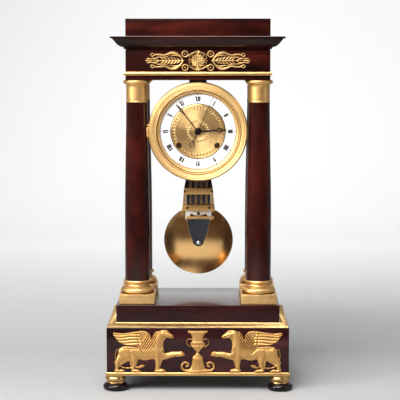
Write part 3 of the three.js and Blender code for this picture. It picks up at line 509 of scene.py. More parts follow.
class Relief:
    """A height map over a CAD mount. Zero is the ground it lies on, and what is below stays hidden in it."""

    SINK = 0.35

    def __init__(self, node, step, spare=1):
        low, high = box_mm(node)
        self.node = node
        self.x = np.arange(low[0] - 1, high[0] + 1 + step, step)
        self.X, self.Z = np.meshgrid(self.x, np.arange(low[2] - spare, high[2] + spare + step, step))
        self.h = np.full(self.X.shape, -1.0)

    def distance(self, line, widths=(1,)):
        """How far each point is from the line, and the line's half width there."""
        p = np.asarray(line, float)
        w = np.interp(np.linspace(0, 1, len(p)), np.linspace(0, 1, len(widths)), widths)
        best = np.full(self.X.shape, 1e6)
        wide = np.full(self.X.shape, 1.0)
        for i in range(len(p) - 1):
            d = p[i + 1] - p[i]
            t = ((self.X - p[i, 0]) * d[0] + (self.Z - p[i, 1]) * d[1]) / max(d @ d, 1e-9)
            t = np.clip(t, 0, 1)
            away = np.hypot(self.X - p[i, 0] - t * d[0], self.Z - p[i, 1] - t * d[1])
            half = w[i] + t * (w[i + 1] - w[i])
            near = away / half < best / wide
            best = np.where(near, away, best)
            wide = np.where(near, half, wide)
        return best, wide

    def dome(self, line, widths, height, groove=0.0):
        """Raises a rounded ridge along a line, with a fine vein down its middle if asked."""
        d, w = self.distance(line, widths)
        q = d / w
        ridge = height * (1 - q ** 2)
        if groove:
            ridge -= groove * np.exp(-(d / 0.45) ** 2)
        self.h = np.maximum(self.h, np.where(q < 1.6, ridge, -1))

    def domes(self, rows, side, base, flip=1):
        """Ridges from rows of [points, steps to smooth them by or 0, widths, height, depth of the vein]."""
        for points, steps, widths, height, groove in rows:
            line = mirrored(points, side, base, flip)
            self.dome(smooth(line, steps) if steps else line, widths, height, groove)

    def cut(self, line, width, depth):
        d, _ = self.distance(line)
        self.h = np.where(self.h > 0, np.maximum(self.h - depth * np.exp(-(d / width) ** 2), 0.15), self.h)

    def inside(self):
        """Signed distance to the outline of the CAD mount: positive inside."""
        best = np.full(self.X.shape, 1e6)
        crossings = np.zeros(self.X.shape, int)
        for a, b in back_outline(self.node):
            d = b - a
            t = np.clip(((self.X - a[0]) * d[0] + (self.Z - a[1]) * d[1]) / max(d @ d, 1e-9), 0, 1)
            best = np.minimum(best, np.hypot(self.X - a[0] - t * d[0], self.Z - a[1] - t * d[1]))
            spans = (a[1] > self.Z) != (b[1] > self.Z)
            if abs(d[1]) > 1e-9:
                crossings += spans & (self.X < a[0] + (self.Z - a[1]) * d[0] / d[1])
        return np.where(crossings % 2 == 1, best, -best)

    def hollows(self, reach=1.6):
        """How far each point lies below the mean height around it: 0 on the ridges, 1 in deep grooves. The
        gilding paints shade by it.
        """
        steps = max(1, round(reach / (self.x[1] - self.x[0])))
        mean, count = np.zeros_like(self.h), 0
        h = np.clip(self.h, 0, None)
        for i in range(-steps, steps + 1):
            for k in range(-steps, steps + 1):
                if i * i + k * k <= steps * steps:
                    mean += np.roll(np.roll(h, i, 0), k, 1)
                    count += 1
        return np.clip(0.12 + 1.7 * (mean / count - h), 0, 1)

    def piece(self, name, ground, material):
        """A closed shell standing towards -Y from the plane y = ground, in place of the CAD mount."""
        h = np.clip(self.h, -self.SINK, None)
        up = h > 0
        cell = up[:-1, :-1] | up[1:, :-1] | up[:-1, 1:] | up[1:, 1:]
        top = np.stack([self.X, ground - h, self.Z], axis=-1).reshape(-1, 3)
        back = np.full(h.shape, ground + self.SINK + 0.05)
        under = np.stack([self.X, back, self.Z], axis=-1).reshape(-1, 3)
        shape, used = shell(quads_of(*h.shape)[cell.ravel()], top, under)
        obj = piece(name, shape, material, self.node, angle=60, clean=False)
        # the hollows go to the gilding, which paints shade into them
        hollow = self.hollows().ravel()
        shade_by(obj, np.concatenate([hollow, np.ones(hollow.size)])[used])


def back_outline(node):
    """The outline of a flat mount, as pairs of points in x and z, read from the back face of its CAD node."""
    mesh = frame["nodes"][node].data
    co = np.array([v.co for v in mesh.vertices]) / MM
    back = co[:, 1].max()
    seen = {}
    for poly in mesh.polygons:
        ids = list(poly.vertices)
        if all(abs(co[i, 1] - back) < 0.02 for i in ids):
            for a, b in zip(ids, ids[1:] + ids[:1]):
                ends = tuple(np.round(co[a, [0, 2]], 3)), tuple(np.round(co[b, [0, 2]], 3))
                if ends[::-1] in seen:
                    del seen[ends[::-1]]
                else:
                    seen[ends] = True
    return [(np.array(a), np.array(b)) for a, b in seen]


# ---------------------------------------------------------------- feet and base
def feet():
    bun = capped(smooth([(14.6, 0.15), (18.8, 1.3), (20.7, 4.6), (20.2, 8), (17.6, 10.6), (15, 11.8)], 5))
    ring = capped(smooth([(14.2, 12), (15.6, 12.8), (15.2, 14.2), (15.6, 15.6), (16.9, 18.4), (17, 20.6),
                          (15.8, 23), (16.4, 24.6), (16.4, 25.4)], 6))
    for corner in CORNERS:
        x, y, _ = centre_of(f"foot_bun_{corner}")
        piece(f"bun_foot_{corner}", turned(bun, x, y), WOOD_FOOT, f"foot_bun_{corner}")
        piece(f"foot_gilt_{corner}", turned(ring, x, y), GILT_FOOT, f"foot_collar_{corner}")


def leaf_moulding():
    """The sloped gilt ledge on the base: a bead row below, then a row of upright leaves."""
    low, high = box_mm("base_top_moulding")
    half_x, half_y, z = high[0], high[1], low[2]
    reach = half_x - (BASE_HIGH[0] - 1) + 13.8
    line = eased([(0.3, z), (0.3, z + 1.2), (1.2, z + 2.1), (2.6, z + 2.3), (reach - 2.4, z + 6.1),
                  (reach - 2, z + 7), (reach, z + 7.3)], 0.5)
    line = divided(line, 0.55, lambda point: point[0] < reach)
    normal = np.gradient(line, axis=0)
    normal = np.stack([-normal[:, 1], normal[:, 0]], axis=1)
    normal /= np.linalg.norm(normal, axis=1, keepdims=True)
    start, end = 2.9, reach - 2.5
    up = np.clip((line[:, :1] - start) / (end - start), 0, 1)
    on_leaf = (line[:, :1] > start) & (line[:, :1] < end)
    on_bead = line[:, :1] < 2.7
    parts, grooves = [], []
    for long_half, cross_half, front in ((half_x, half_y, True), (half_y, half_x, False)):
        leaves = round(2 * long_half / LEAF_PITCH)
        s = np.linspace(-1, 1, leaves * 12 + 1)[None, :]
        phase = (s + 1) / 2 * leaves
        off = np.abs(phase - np.floor(phase) - 0.5) * 2
        fill = np.sqrt(np.clip(1 - up, 0, 1)) * 0.9 + 0.1
        leaf = 1.1 * np.clip(1 - (off / fill) ** 2, -0.3, 1) - 0.3 * np.exp(-(off / 0.13) ** 2)
        bead_phase = phase * 2
        bead_off = np.abs(bead_phase - np.floor(bead_phase) - 0.5) * 2
        bead = 0.9 * np.sqrt(np.clip(1 - bead_off ** 2, 0, 1))
        rise = np.where(on_leaf, leaf, 0) + np.where(on_bead, bead, 0) - 0.9
        inset = np.maximum(line[:, :1] + rise * normal[:, :1], 0)
        height = line[:, 1:] + rise * normal[:, 1:]
        # groove marks the gaps between the leaves and between the beads, where the gilding paints shade
        groove = np.where(on_leaf, 0.45 * np.clip((off / fill) ** 2 - 0.25, 0, 1), 0)
        groove = np.where(on_bead, 0.35 * np.clip(1 - 1.6 * bead, 0, 1), groove)
        for side in (-1, 1):
            length = (long_half - inset) * s
            across = side * (cross_half - inset)
            verts = np.stack([length, across, height] if front else [across, length, height], axis=-1)
            grooves.append(np.concatenate([groove.ravel(), np.zeros(2 * groove.shape[1])]))
            floor = verts[[-1, 0]].copy()
            floor[:, :, 2] = z
            verts = np.concatenate([verts, floor])
            rows, cols = verts.shape[:2]
            ids = np.arange(rows * cols).reshape(rows, cols)
            faces = quads_of(rows, cols, True).tolist() + [ids[:, 0].tolist(), ids[::-1, -1].tolist()]
            if (side == 1) == front:
                faces = [face[::-1] for face in faces]
            parts.append((verts.reshape(-1, 3), faces))
    ledge = piece("base_leaf_moulding", joined(parts), GILT_LEDGE, "base_top_moulding",
                  angle=50, clean=False)
    shade_by(ledge, np.concatenate(grooves))


def base():
    piece("base_carcass", block(BASE_LOW, BASE_HIGH, 0.8), WOOD_BASE, "base_box", clean=False)
    low, high = box_mm("base_bottom_band")
    out = high[0] - BASE_HIGH[0]
    z0, z1 = low[2], high[2]
    band = eased([(0.1, z0), (0, z0 + 1), (0.5, z1 - 2), (1, z1 - 0.6), (out + 0.2, z1), (out + 0.2, z0)],
                 0.5, True)
    piece("base_band", loop_moulding(band, high[0], high[1]), GILT_BRIGHT, "base_bottom_band",
          clean=False)
    leaf_moulding()
    slab = block(*box_mm("upper_plinth"), 0.7)
    piece("plinth_slab", slab, WOOD_SLAB, "upper_plinth", clean=False)


# ---------------------------------------------------------------- mounts on the base front
FEATHERS = [
    [(-96, 65.4), (-112, 65.2), (-126, 63.4), (-135.4, 63.8)],
    [(-95, 60.6), (-110, 60.8), (-124, 59), (-134.6, 60)],
    [(-94, 55.8), (-108, 56), (-122, 54.4), (-131.4, 55.2)],
    [(-93, 51), (-106, 51), (-117, 49.6), (-126.6, 50)],
    [(-92, 46.4), (-102, 46), (-111, 45.2), (-119, 45.4)],
]
COVERTS = [(-101, 66.6), (-88, 70), (-77, 66), (-70, 56), (-62, 60), (-55, 56), (-53, 42), (-60, 33),
           (-74, 30), (-88, 33), (-94, 42)]
BODY = [  # trunk, neck and head, then legs and paws, then the tail: points, widths, height
    ([(-63, 36), (-78, 33), (-98, 31), (-116, 31)], (11, 10.5, 9.5, 10), 2.3),
    ([(-117, 30), (-121, 32)], (10.5, 9), 2.6),
    ([(-66, 32), (-63.5, 44), (-63, 56), (-59, 63)], (9, 8.4, 7, 6.2), 2.7),
    ([(-61, 63.4), (-54, 63.4)], (5.6, 4.6), 2.9),
    ([(-52, 62.6), (-46, 61), (-41.6, 59.6), (-38.8, 57.4)], (4.4, 3.2, 2.2, 1), 2.7),
    ([(-52, 59.4), (-46.5, 58.2)], (1.6, 0.9), 2.0),
    ([(-60, 67), (-64.6, 66.4)], (1.7, 1), 3.0),
    ([(-61, 33), (-51, 26.6), (-40, 28.6), (-29, 29.4)], (6.4, 5.4, 5, 4.4), 2.2),
    ([(-66, 30), (-64.6, 18), (-65.2, 6)], (6, 4, 3.2), 2.4),
    ([(-104, 29), (-102.6, 17), (-104.4, 6)], (8.6, 4.4, 3), 2.6),
    ([(-121, 28), (-129.4, 18), (-130.8, 6)], (8, 4.4, 3.2), 2.3),
    ([(-66, 2.6), (-56, 2.4)], (2.8, 2.4), 2.5),
    ([(-104.6, 2.6), (-94.4, 2.4)], (2.8, 2.4), 2.6),
    ([(-131, 2.6), (-119.6, 2.6)], (2.8, 2.4), 2.4),
    ([(-28, 29.8), (-24, 29.2)], (3.6, 3), 2.7),
    ([(-130, 38), (-133.2, 31), (-132.2, 20), (-127, 11.6), (-121, 7.6), (-112.8, 6.9), (-104.6, 7.7),
      (-98.4, 9.8)], (1.1, 1.1), 1.5),
    ([(-101, 8), (-96, 9.6), (-90.5, 11.4), (-86, 10.8)], (1.2, 2.4, 1.2, 0.6), 1.8),
]
TOES = [[(-27, 31.4), (-22, 30.6)], [(-27, 29), (-22, 28)], [(-28, 27), (-24.4, 26)],
        [(-58, 3.6), (-53, 2)], [(-60, 1.4), (-54, 0.6)], [(-97, 3.6), (-92, 1.6)],
        [(-99, 1.4), (-93, 0.8)], [(-122, 3.6), (-118, 1.6)], [(-125, 1.4), (-119, 0.8)]]
CUTS = [  # eye, beak, haunch, wing edge and flank: points, steps, width, depth
    ([(-53.6, 65.4), (-52.6, 65.4)], 0, 0.8, 1.6),
    ([(-50, 60.2), (-46, 60), (-43, 59)], 4, 0.5, 0.8),
    ([(-118, 43), (-104, 41.4), (-95, 38), (-88, 31)], 5, 0.9, 1.3),
    ([(-99, 66), (-97, 56), (-95.5, 44)], 5, 0.7, 1.1),
    ([(-108, 39), (-110, 30), (-108, 21)], 4, 0.8, 0.7),
]


def scales():
    """Small feathers in staggered rows over the griffin's shoulder."""
    shoulder = np.array(COVERTS, float)
    middle = shoulder.mean(axis=0)
    near = 0.55 * np.abs(shoulder - middle).max()
    for row in range(13):
        for k in range(16):
            at = np.array([-54 - 3.9 * k - (row % 2) * 1.95, 69 - 3.1 * row])
            turns = [np.cross(b - a, at - a) for a, b in zip(shoulder, np.roll(shoulder, -1, 0))]
            within = all(t < 0 for t in turns) or all(t > 0 for t in turns)
            if within or np.hypot(*(at - middle)) < near:
                yield [(at[0] + 0.8, at[1] + 0.9), (at[0] - 0.7, at[1] - 0.8)]


def griffin(node, side):
    """A walking griffin in low relief. Its silhouette is the CAD mount's."""
    r = Relief(node, 0.4)
    r.domes([(line, 5, widths, height, 0) for line, widths, height in BODY], side, MOUNT_GROUND)
    wing = [(line, 6, (2.4, 2.5, 2.3, 1.5), 2.3 - 0.1 * i, 0.4) for i, line in enumerate(FEATHERS)]
    r.domes(wing, side, MOUNT_GROUND)
    r.domes([(line, 0, (1.9, 1.5), 2.75, 0.3) for line in scales()], side, MOUNT_GROUND)
    r.domes([(line, 0, (1.3, 0.9), 2.9, 0) for line in TOES], side, MOUNT_GROUND)
    for points, steps, width, depth in CUTS:
        line = mirrored(points, side, MOUNT_GROUND)
        r.cut(smooth(line, steps) if steps else line, width, depth)
    r.h = np.minimum(np.maximum(r.h, 0.7), 1.7 * r.inside())
    r.piece(node + "_relief", BASE_LOW[1], GILT_CHASED)


URN = [  # height and half width, from the foot up
    (0.4, 21), (3.5, 15), (7.7, 11.2), (14.4, 9.8), (22.6, 9), (25.6, 8.6), (27, 5.8), (29.6, 5.4), (31, 2.8),
    (33.6, 2.6), (35.8, 3.8), (39.2, 7), (42.8, 10), (46.4, 12.4), (48.4, 13.2), (50.2, 13), (51.6, 10.6),
    (53, 9.4), (58, 9.8), (63, 10.8), (64.4, 13), (65.2, 15.9), (69, 15.9),
]
URN_RINGS = (68, 65.8, 50, 48.6, 43.2, 30, 28.2, 25.4, 22.8, 2)
URN_SCROLLS = [
    ([(13, 4), (20, 3), (25.4, 6.6), (25.6, 12.6), (21, 16.4), (15.6, 14.6), (16.4, 10.4), (20, 9.8)],
     6, (2.2, 2.2), 2.2, 0.5),
    ([(20.6, 10), (20.4, 10)], 0, (2.2, 2.2), 2.5, 0),
    ([(8.4, 53.6), (14.4, 55.2), (18.2, 50.6), (16.6, 45.4), (10.6, 41.4)], 6, (1.0, 1.0), 2.0, 0),
]


def urn():
    r = Relief("urn_mount", 0.35)
    level = r.Z - MOUNT_GROUND
    half = np.interp(level, *np.array(URN, float).T)
    round_body = 0.5 + 2.4 * np.sqrt(np.clip(1 - (r.X / half) ** 2, 0, 1))
    angle = np.arcsin(np.clip(r.X / half, -1, 1))
    flutes = 0.35 * np.abs(np.sin(angle * 7))
    belly = ((level > 36) & (level < 47)) | ((level > 4) & (level < 21))
    rings = 0.5 * sum(np.exp(-((level - z) / 0.8) ** 2) for z in URN_RINGS)
    body = np.where(np.abs(r.X) < half, round_body - np.where(belly, flutes, 0) + rings, -1)
    r.h = np.maximum(r.h, body)
    for side in (-1, 1):
        r.domes(URN_SCROLLS, side, MOUNT_GROUND)
    r.h = np.minimum(r.h, 2.0 * r.inside())
    r.piece("urn_relief", BASE_LOW[1], GILT_CHASED)


CIRCLE = np.linspace(0, 2 * math.pi, 33)
FRIEZE_MIDDLE = [  # on the middle line of the frieze, out from the rosette
    ([(23, 0), (60, 0)], 0, (1.3, 0.8), 1.7, 0),
    ([(58, 0), (84, 0)], 0, (0.8, 0.6), 1.5, 0),
    ([(78.6, 0), (82, 0)], 0, (1.9, 1.0), 2.0, 0),
    ([(24.4, 0), (24.6, 0)], 0, (2.3, 2.3), 2.2, 0),
]
FRIEZE_BRANCHES = [  # mirrored above and below it
    ([(20.5 + 4.6 * math.cos(a), 10.8 + 4.6 * math.sin(a)) for a in CIRCLE], 0, (1.15, 1.15), 1.8, 0),
    ([(20.5, 10.8), (20.6, 10.8)], 0, (1.4, 1.4), 1.9, 0),
    ([(15.6, 8), (11, 10.6), (6, 13.4), (0, 14.4)], 5, (1.0, 1.2, 0.9), 1.7, 0),
    ([(0, 11.4), (2.4, 14.6), (0.4, 16.2)], 5, (1.5, 0.7), 1.9, 0),
    ([(24.6, 1), (28, 6.6), (34, 11.4), (41, 13), (48, 10.8), (54, 8.8), (61, 9.8), (68, 9.6), (73, 6.4)],
     6, (1.2, 1.7, 2.5, 2.1, 1.4, 1.7, 1.3, 1.0), 1.9, 0.35),
    ([(24.4, 3), (30, 7.4), (38, 8.8), (45, 7)], 5, (0.8, 1.3, 1.3, 0.5), 1.5, 0),
    ([(46, 8), (54, 5.4), (63, 5.6), (70, 4)], 5, (0.5, 1.1, 1.0, 0.4), 1.4, 0),
    ([(73, 6.4), (75.6, 8.8), (73.6, 11.4), (70.4, 10.6), (70.6, 8.4)], 5, (1.0, 0.8), 1.8, 0),
    ([(62, 0.3), (66, 2.6), (71, 3.4), (76, 2.4)], 4, (0.6, 1.4, 0.6), 1.8, 0),
    ([(74.6, 0.6), (77.4, 3.4), (81, 3), (82.4, 1.2)], 4, (0.7, 1.1, 0.6), 1.7, 0),
] + [
    ([(x, 0.4), (x + 2.4, 2.6 * size), (x + 5.4, 4.4 * size)], 4, (0.7, 1.25 * size, 0.4), 1.9, 0.25)
    for x, size in ((29, 1.0), (34, 1.25), (39, 1.35), (44, 1.3), (49, 1.1), (54, 0.9))
]


def frieze():
    """Pierced gilt mount: a twelve-petal rosette in scrolls, and on each side a lyre round a leafy stem."""
    low, high = box_mm("frieze_mount")
    zc = (low[2] + high[2]) / 2
    r = Relief("frieze_mount", 0.3, 0.4)

    def ray(a, inner, outer, widths, height, groove):
        points = [(x * math.cos(a), z * math.sin(a)) for x, z in (inner, outer)]
        r.domes([(points, 0, widths, height, groove)], 1, zc)

    for k in range(12):
        a = 2 * math.pi * k / 12
        ray(a, (3, 3), (8.2, 8.2), (1.1, 2.4), 2.0, 0.4)
        ray(a + math.radians(15), (7.6, 7.6), (11, 10.4), (0.8, 0.6), 1.6, 0)
    r.domes([([(0, 0), (0.1, 0)], 0, (2.4, 2.4), 2.6, 0)], 1, zc)
    for turn, size in ((0, 2.0), (27, 2.6), (58, 2.4), (90, 1.9)):
        a = math.radians(turn)
        x, z = 12.6 * math.cos(a), 11.6 * math.sin(a)
        loop = [(x + size * math.cos(b), z + size * math.sin(b)) for b in CIRCLE]
        for side, flip in ((1, 1), (1, -1), (-1, 1), (-1, -1)):
            r.domes([(loop, 0, (0.62, 0.62), 1.8, 0)], side, zc, flip)
    for side in (-1, 1):
        r.domes(FRIEZE_MIDDLE, side, zc)
        for flip in (-1, 1):
            r.domes(FRIEZE_BRANCHES, side, zc, flip)
    r.piece("frieze_relief", BOX_LOW[1], GILT_LEDGE)


# ---------------------------------------------------------------- columns
def columns():
    for corner in CORNERS:
        x, y = centre_of(f"column_shaft_{corner}")[:2]
        low, high = box_mm(f"column_base_{corner}")
        plinth_top = low[2] + 16.4
        torus = smooth([(25, 0.1), (26.9, 1.5), (27.6, 4.2), (27, 7), (25, 8.8)], 5)
        scotia = smooth([(23, 11), (20.7, 12.2), (19.6, 14), (20, 15.8), (21.7, 17)], 5)
        lip = smooth([(22.3, 17.4), (23, 18.3), (23.1, 19.6), (22.4, 20.8)], 4)
        steps = [(0, 0), (25, 0), *torus, (24.4, 9), (24.2, 9.2), (24.2, 10.6), (24, 10.8), *scotia,
                 (22, 17.2), *lip, (22, 21), (0, 21)]
        ring = np.array([(r, plinth_top + h) for r, h in steps])
        ring[:, 1] = np.minimum(ring[:, 1], high[2] - 0.02)
        plinth = block(low, (high[0], high[1], plinth_top), 0.5)
        piece(f"column_foot_{corner}", joined([plinth, turned(ring, x, y, steps=COLUMN_FACETS)]), GILT_BASE,
              f"column_base_{corner}", angle=30)

        foot, head = high[2], box_mm(f"column_capital_{corner}")[0][2]
        shaft = capped(smooth([(20.3, foot + 0.2), (20.3, foot + 60), (20, foot + 130), (18.65, foot + 204),
                               (17.75, foot + 246), (17.1, head - 0.2)], 6))
        piece(f"column_wood_{corner}", turned(shaft, x, y, steps=COLUMN_FACETS), WOOD_UP,
              f"column_shaft_{corner}")

        low, high = box_mm(f"column_capital_{corner}")
        b, t = low[2], high[2]
        reeds = []
        for k in range(9):
            z = b + 6 + 2.15 * k
            reeds += [(17.15, z), (16.9, z + 1.05)]
        flare = smooth([(17.1, t - 10), (17.3, t - 8.6), (18.2, t - 7), (20, t - 6.2)], 4)
        ovolo = smooth([(20.4, t - 5.9), (21.6, t - 4.6), (21.95, t - 2.8), (21.8, t - 1.3),
                        (21.2, t - 0.3)], 4)
        astragal = smooth([(17.3, b + 0.2), (17.55, b + 1.3), (17.3, b + 2.5)], 4)
        steps = [(0, b), (17, b), *astragal, (17.05, b + 2.8), (16.95, b + 4.8), *reeds, *flare,
                 (20.1, t - 6.1), *ovolo, (20.8, t), (0, t)]
        piece(f"capital_{corner}", turned(steps, x, y, steps=COLUMN_FACETS), GILT,
              f"column_capital_{corner}", angle=28)


# ---------------------------------------------------------------- entablature
def entablature():
    box = block((BOX_LOW[0], BOX_LOW[1], 502), BOX_HIGH, 0.6)
    hanger = block((-14, -46, DIAL_Z + 65.6), (14, 2, 503), 0.5)
    piece("entablature_wood", joined([box, hanger]), WOOD_ACROSS, "entablature_box", clean=False)
    low, high = box_mm("architrave_band")
    z0, z1 = low[2], high[2]
    out = high[0] - BOX_HIGH[0]
    band = eased([(0.9, z0), (0, z0 + 0.9), (0, z0 + 3.6), (0.9, z0 + 4.4), (1.2, z1), (out + 0.1, z1),
                  (out + 0.1, z0)], 0.4, True)
    piece("architrave_gilt", loop_moulding(band, high[0], high[1]), GILT_BRIGHT,
          "architrave_band", clean=False)
    low, high = box_mm("cornice")
    z0, z1 = low[2], high[2]
    over = high[0] - BOX_HIGH[0]
    sweep = smooth([(over - 4.4, z0 + 3.2), (over - 7, z0 + 3.9), (over - 11.6, z0 + 6.8),
                    (over - 15.4, z0 + 11), (3.6, z1 - 3.6)], 6)
    line = [(over + 20, z0), (over - 2.6, z0), (over - 2.8, z0 + 2.6), *sweep, (2.6, z1 - 3), (0.1, z1 - 2.8),
            (0.1, z1 - 0.2), (0.4, z1), (over + 20, z1)]
    piece("cornice_wood", loop_moulding(line, high[0], high[1], False), WOOD_ACROSS, "cornice",
          angle=30, clean=False)
    attic = block(*box_mm("attic_block"), 0.8)
    piece("attic_wood", attic, WOOD_ACROSS, "attic_block", clean=False)


# ---------------------------------------------------------------- dial
def around(u, v, degrees):
    """A point u across and v out from the dial centre, turned clockwise by degrees from twelve."""
    a = math.radians(degrees)
    return DIAL_X + u * math.cos(a) + v * math.sin(a), DIAL_Z - u * math.sin(a) + v * math.cos(a)


def enamel_front(radius):
    """Where the domed front of the enamel ring lies in y."""
    return DIAL_FACE - 0.3 * (1 - ((radius - 53.6) / 9.2) ** 2)


def stroke_outlines(text):
    """Outlines of one Roman numeral, centred across, standing on zero."""
    h, thick, thin, foot = (NUMERAL[key] for key in ("height", "thick", "thin", "serif"))
    x = -sum(ADVANCE[c] for c in text) / 2
    out = []

    def slanted(x0, x1, w):
        out.append([(x0 - w / 2, 0), (x0 + w / 2, 0), (x1 + w / 2, h), (x1 - w / 2, h)])

    def serif(at, top, half=1.0):
        y = h - foot if top else 0
        out.append(oblong(at, half, y, y + foot))

    for c in text:
        mid = x + ADVANCE[c] / 2
        if c == "I":
            slanted(mid, mid, thick)
            serif(mid, True, 0.8)
            serif(mid, False, 0.8)
        elif c == "V":
            slanted(mid, mid - 1.1, thick)
            slanted(mid, mid + 1.1, thin)
            serif(mid - 1.1, True)
            serif(mid + 1.1, True, 0.8)
        else:
            slanted(mid + 1.1, mid - 1.1, thick)
            slanted(mid - 1.1, mid + 1.1, thin)
            for top in (True, False):
                serif(mid - 1.1, top, 0.9)
                serif(mid + 1.1, top, 0.9)
        x += ADVANCE[c]
    return out


def enamel_ring():
    front = DIAL_FACE
    dome = [(r, enamel_front(r)) for r in np.linspace(44.8, 62.4, 20)]
    ring = [(44.4, front + 1.4), (44.4, front - 0.02), *dome, (62.9, front + 0.1), (62.9, front + 1.4)]
    piece("enamel_ring", on_dial(ring), ENAMEL, "chapter_ring")


def dial_numerals():
    """Roman hours, minute marks, the thin circles that hold them, and a painted shadow line under the bezel's
    inner edge.
    """
    front = DIAL_FACE
    marks = []

    def mark(outline, degrees, y0, y1):
        marks.append(prism([around(u, v, degrees) for u, v in outline], y0, y1))

    for hour, text in enumerate(ROMAN):
        for outline in stroke_outlines(text):
            raised = [(u, NUMERAL["r"] + v) for u, v in outline]
            mark(raised, hour * 30, front - 0.35, front - 0.2)
        mark(oblong(0, 0.42, 44.9, 47.8), hour * 30, front - 0.24, front + 0.2)
        mark(oblong(0, 0.42, 57.2, 61), hour * 30, front - 0.22, front + 0.2)
    for minute in range(60):
        mark(oblong(0, 0.12, 59.5, 60.9), minute * 6, front - 0.17, front + 0.1)
    # the circle at 61.4 is a painted shadow line where the bezel's lip meets the enamel; the others are
    # printed
    for radius, half in ((44.75, 0.4), (59.5, 0.05), (60.9, 0.05), (61.4, 0.2)):
        y = enamel_front(radius)
        marks.append(on_dial(oblong(radius, half, y - 0.03, y + 0.2)))
    piece("dial_numerals", joined(marks), INK)


def dial_plate(holes):
    """The gilt centre: two rows of leaves between rings, fine turning, a hole for each winding arbor, and
    painted shade between the leaves and beside the rings.
    """
    turns, rings = 720, 190
    r = np.linspace(3.95, 44.1, rings)[:, None]
    a = np.linspace(0, 2 * np.pi, turns, endpoint=False)[None, :]
    rise, ground = np.zeros((rings, turns)), np.zeros((rings, turns))
    for inner, outer, count, high in ((35.8, 40.4, 48, 0.34), (13.6, 18.4, 24, 0.3)):
        up = np.clip((r - inner) / (outer - inner), 0, 1)
        across = np.abs((a * count / (2 * np.pi)) % 1 - 0.5) * 2
        leaf = 1 - (across / np.sqrt(np.clip(1.02 - up, 0.02, 1))) ** 2
        in_row = (up > 0) & (up < 1)
        rise += high * np.clip(leaf, 0, 1) * in_row
        # painted shade in the ground between the leaves
        ground = np.maximum(ground, in_row * np.clip(0.7 - 1.8 * leaf, 0, 0.7))
    for mid in (42.2, 41.2, 35.2, 19.4, 12.9):
        rise += 0.16 * np.exp(-((r - mid) / 0.28) ** 2)
        # painted shadow along the inner side of each raised ring
        ground = np.maximum(ground, 0.5 * np.exp(-((r - mid + 0.6) / 0.25) ** 2))
    rise += 0.035 * np.sin(2 * np.pi * r / 1.1) * ((r > 20.2) & (r < 34.6))
    rise += 0.06 * np.cos(a * 36) * np.clip(1 - r / 12.6, 0, 1)
    rise -= 0.3 * np.clip((r - 43.4) / 0.6, 0, 1)
    x, z = DIAL_X + r * np.cos(a), DIAL_Z + r * np.sin(a)
    top = np.stack([x, DIAL_FACE - 0.02 - rise, z], axis=-1).reshape(-1, 3)
    under = np.stack([x, np.full_like(x, DIAL_FACE + 1.5), z], axis=-1).reshape(-1, 3)
    keep = np.ones((rings - 1, turns), bool)
    for hole in holes:
        keep &= np.hypot(x[:-1] - hole[0], z[:-1] - hole[2]) > 3.7
    shape, used = shell(quads_of(rings, turns, False, True)[keep.ravel()], top, under)
    plate = piece("dial_guilloche", shape, GUILLOCHE, "dial_centre", angle=60, clean=False)
    radial_uv(plate, "turning")
    shade_by(plate, np.concatenate([ground.ravel(), np.zeros(rings * turns)])[used])


def dial():
    enamel_ring()
    dial_numerals()
    holes = [centre_of(f"{side}_winding_arbor") for side in ("going", "strike")]
    dial_plate(holes)
    front = DIAL_FACE
    section = [(3.2, front + 1.4), (3.2, front - 0.2), (3.6, front - 0.5), (4.3, front - 0.4),
               (4.6, front + 0.1), (4.6, front + 1.4)]
    eyelets = [turned(section, hole[0], hole[2], "Y", 48, True) for hole in holes]
    piece("winding_eyelets", joined(eyelets), STEEL_DARK)


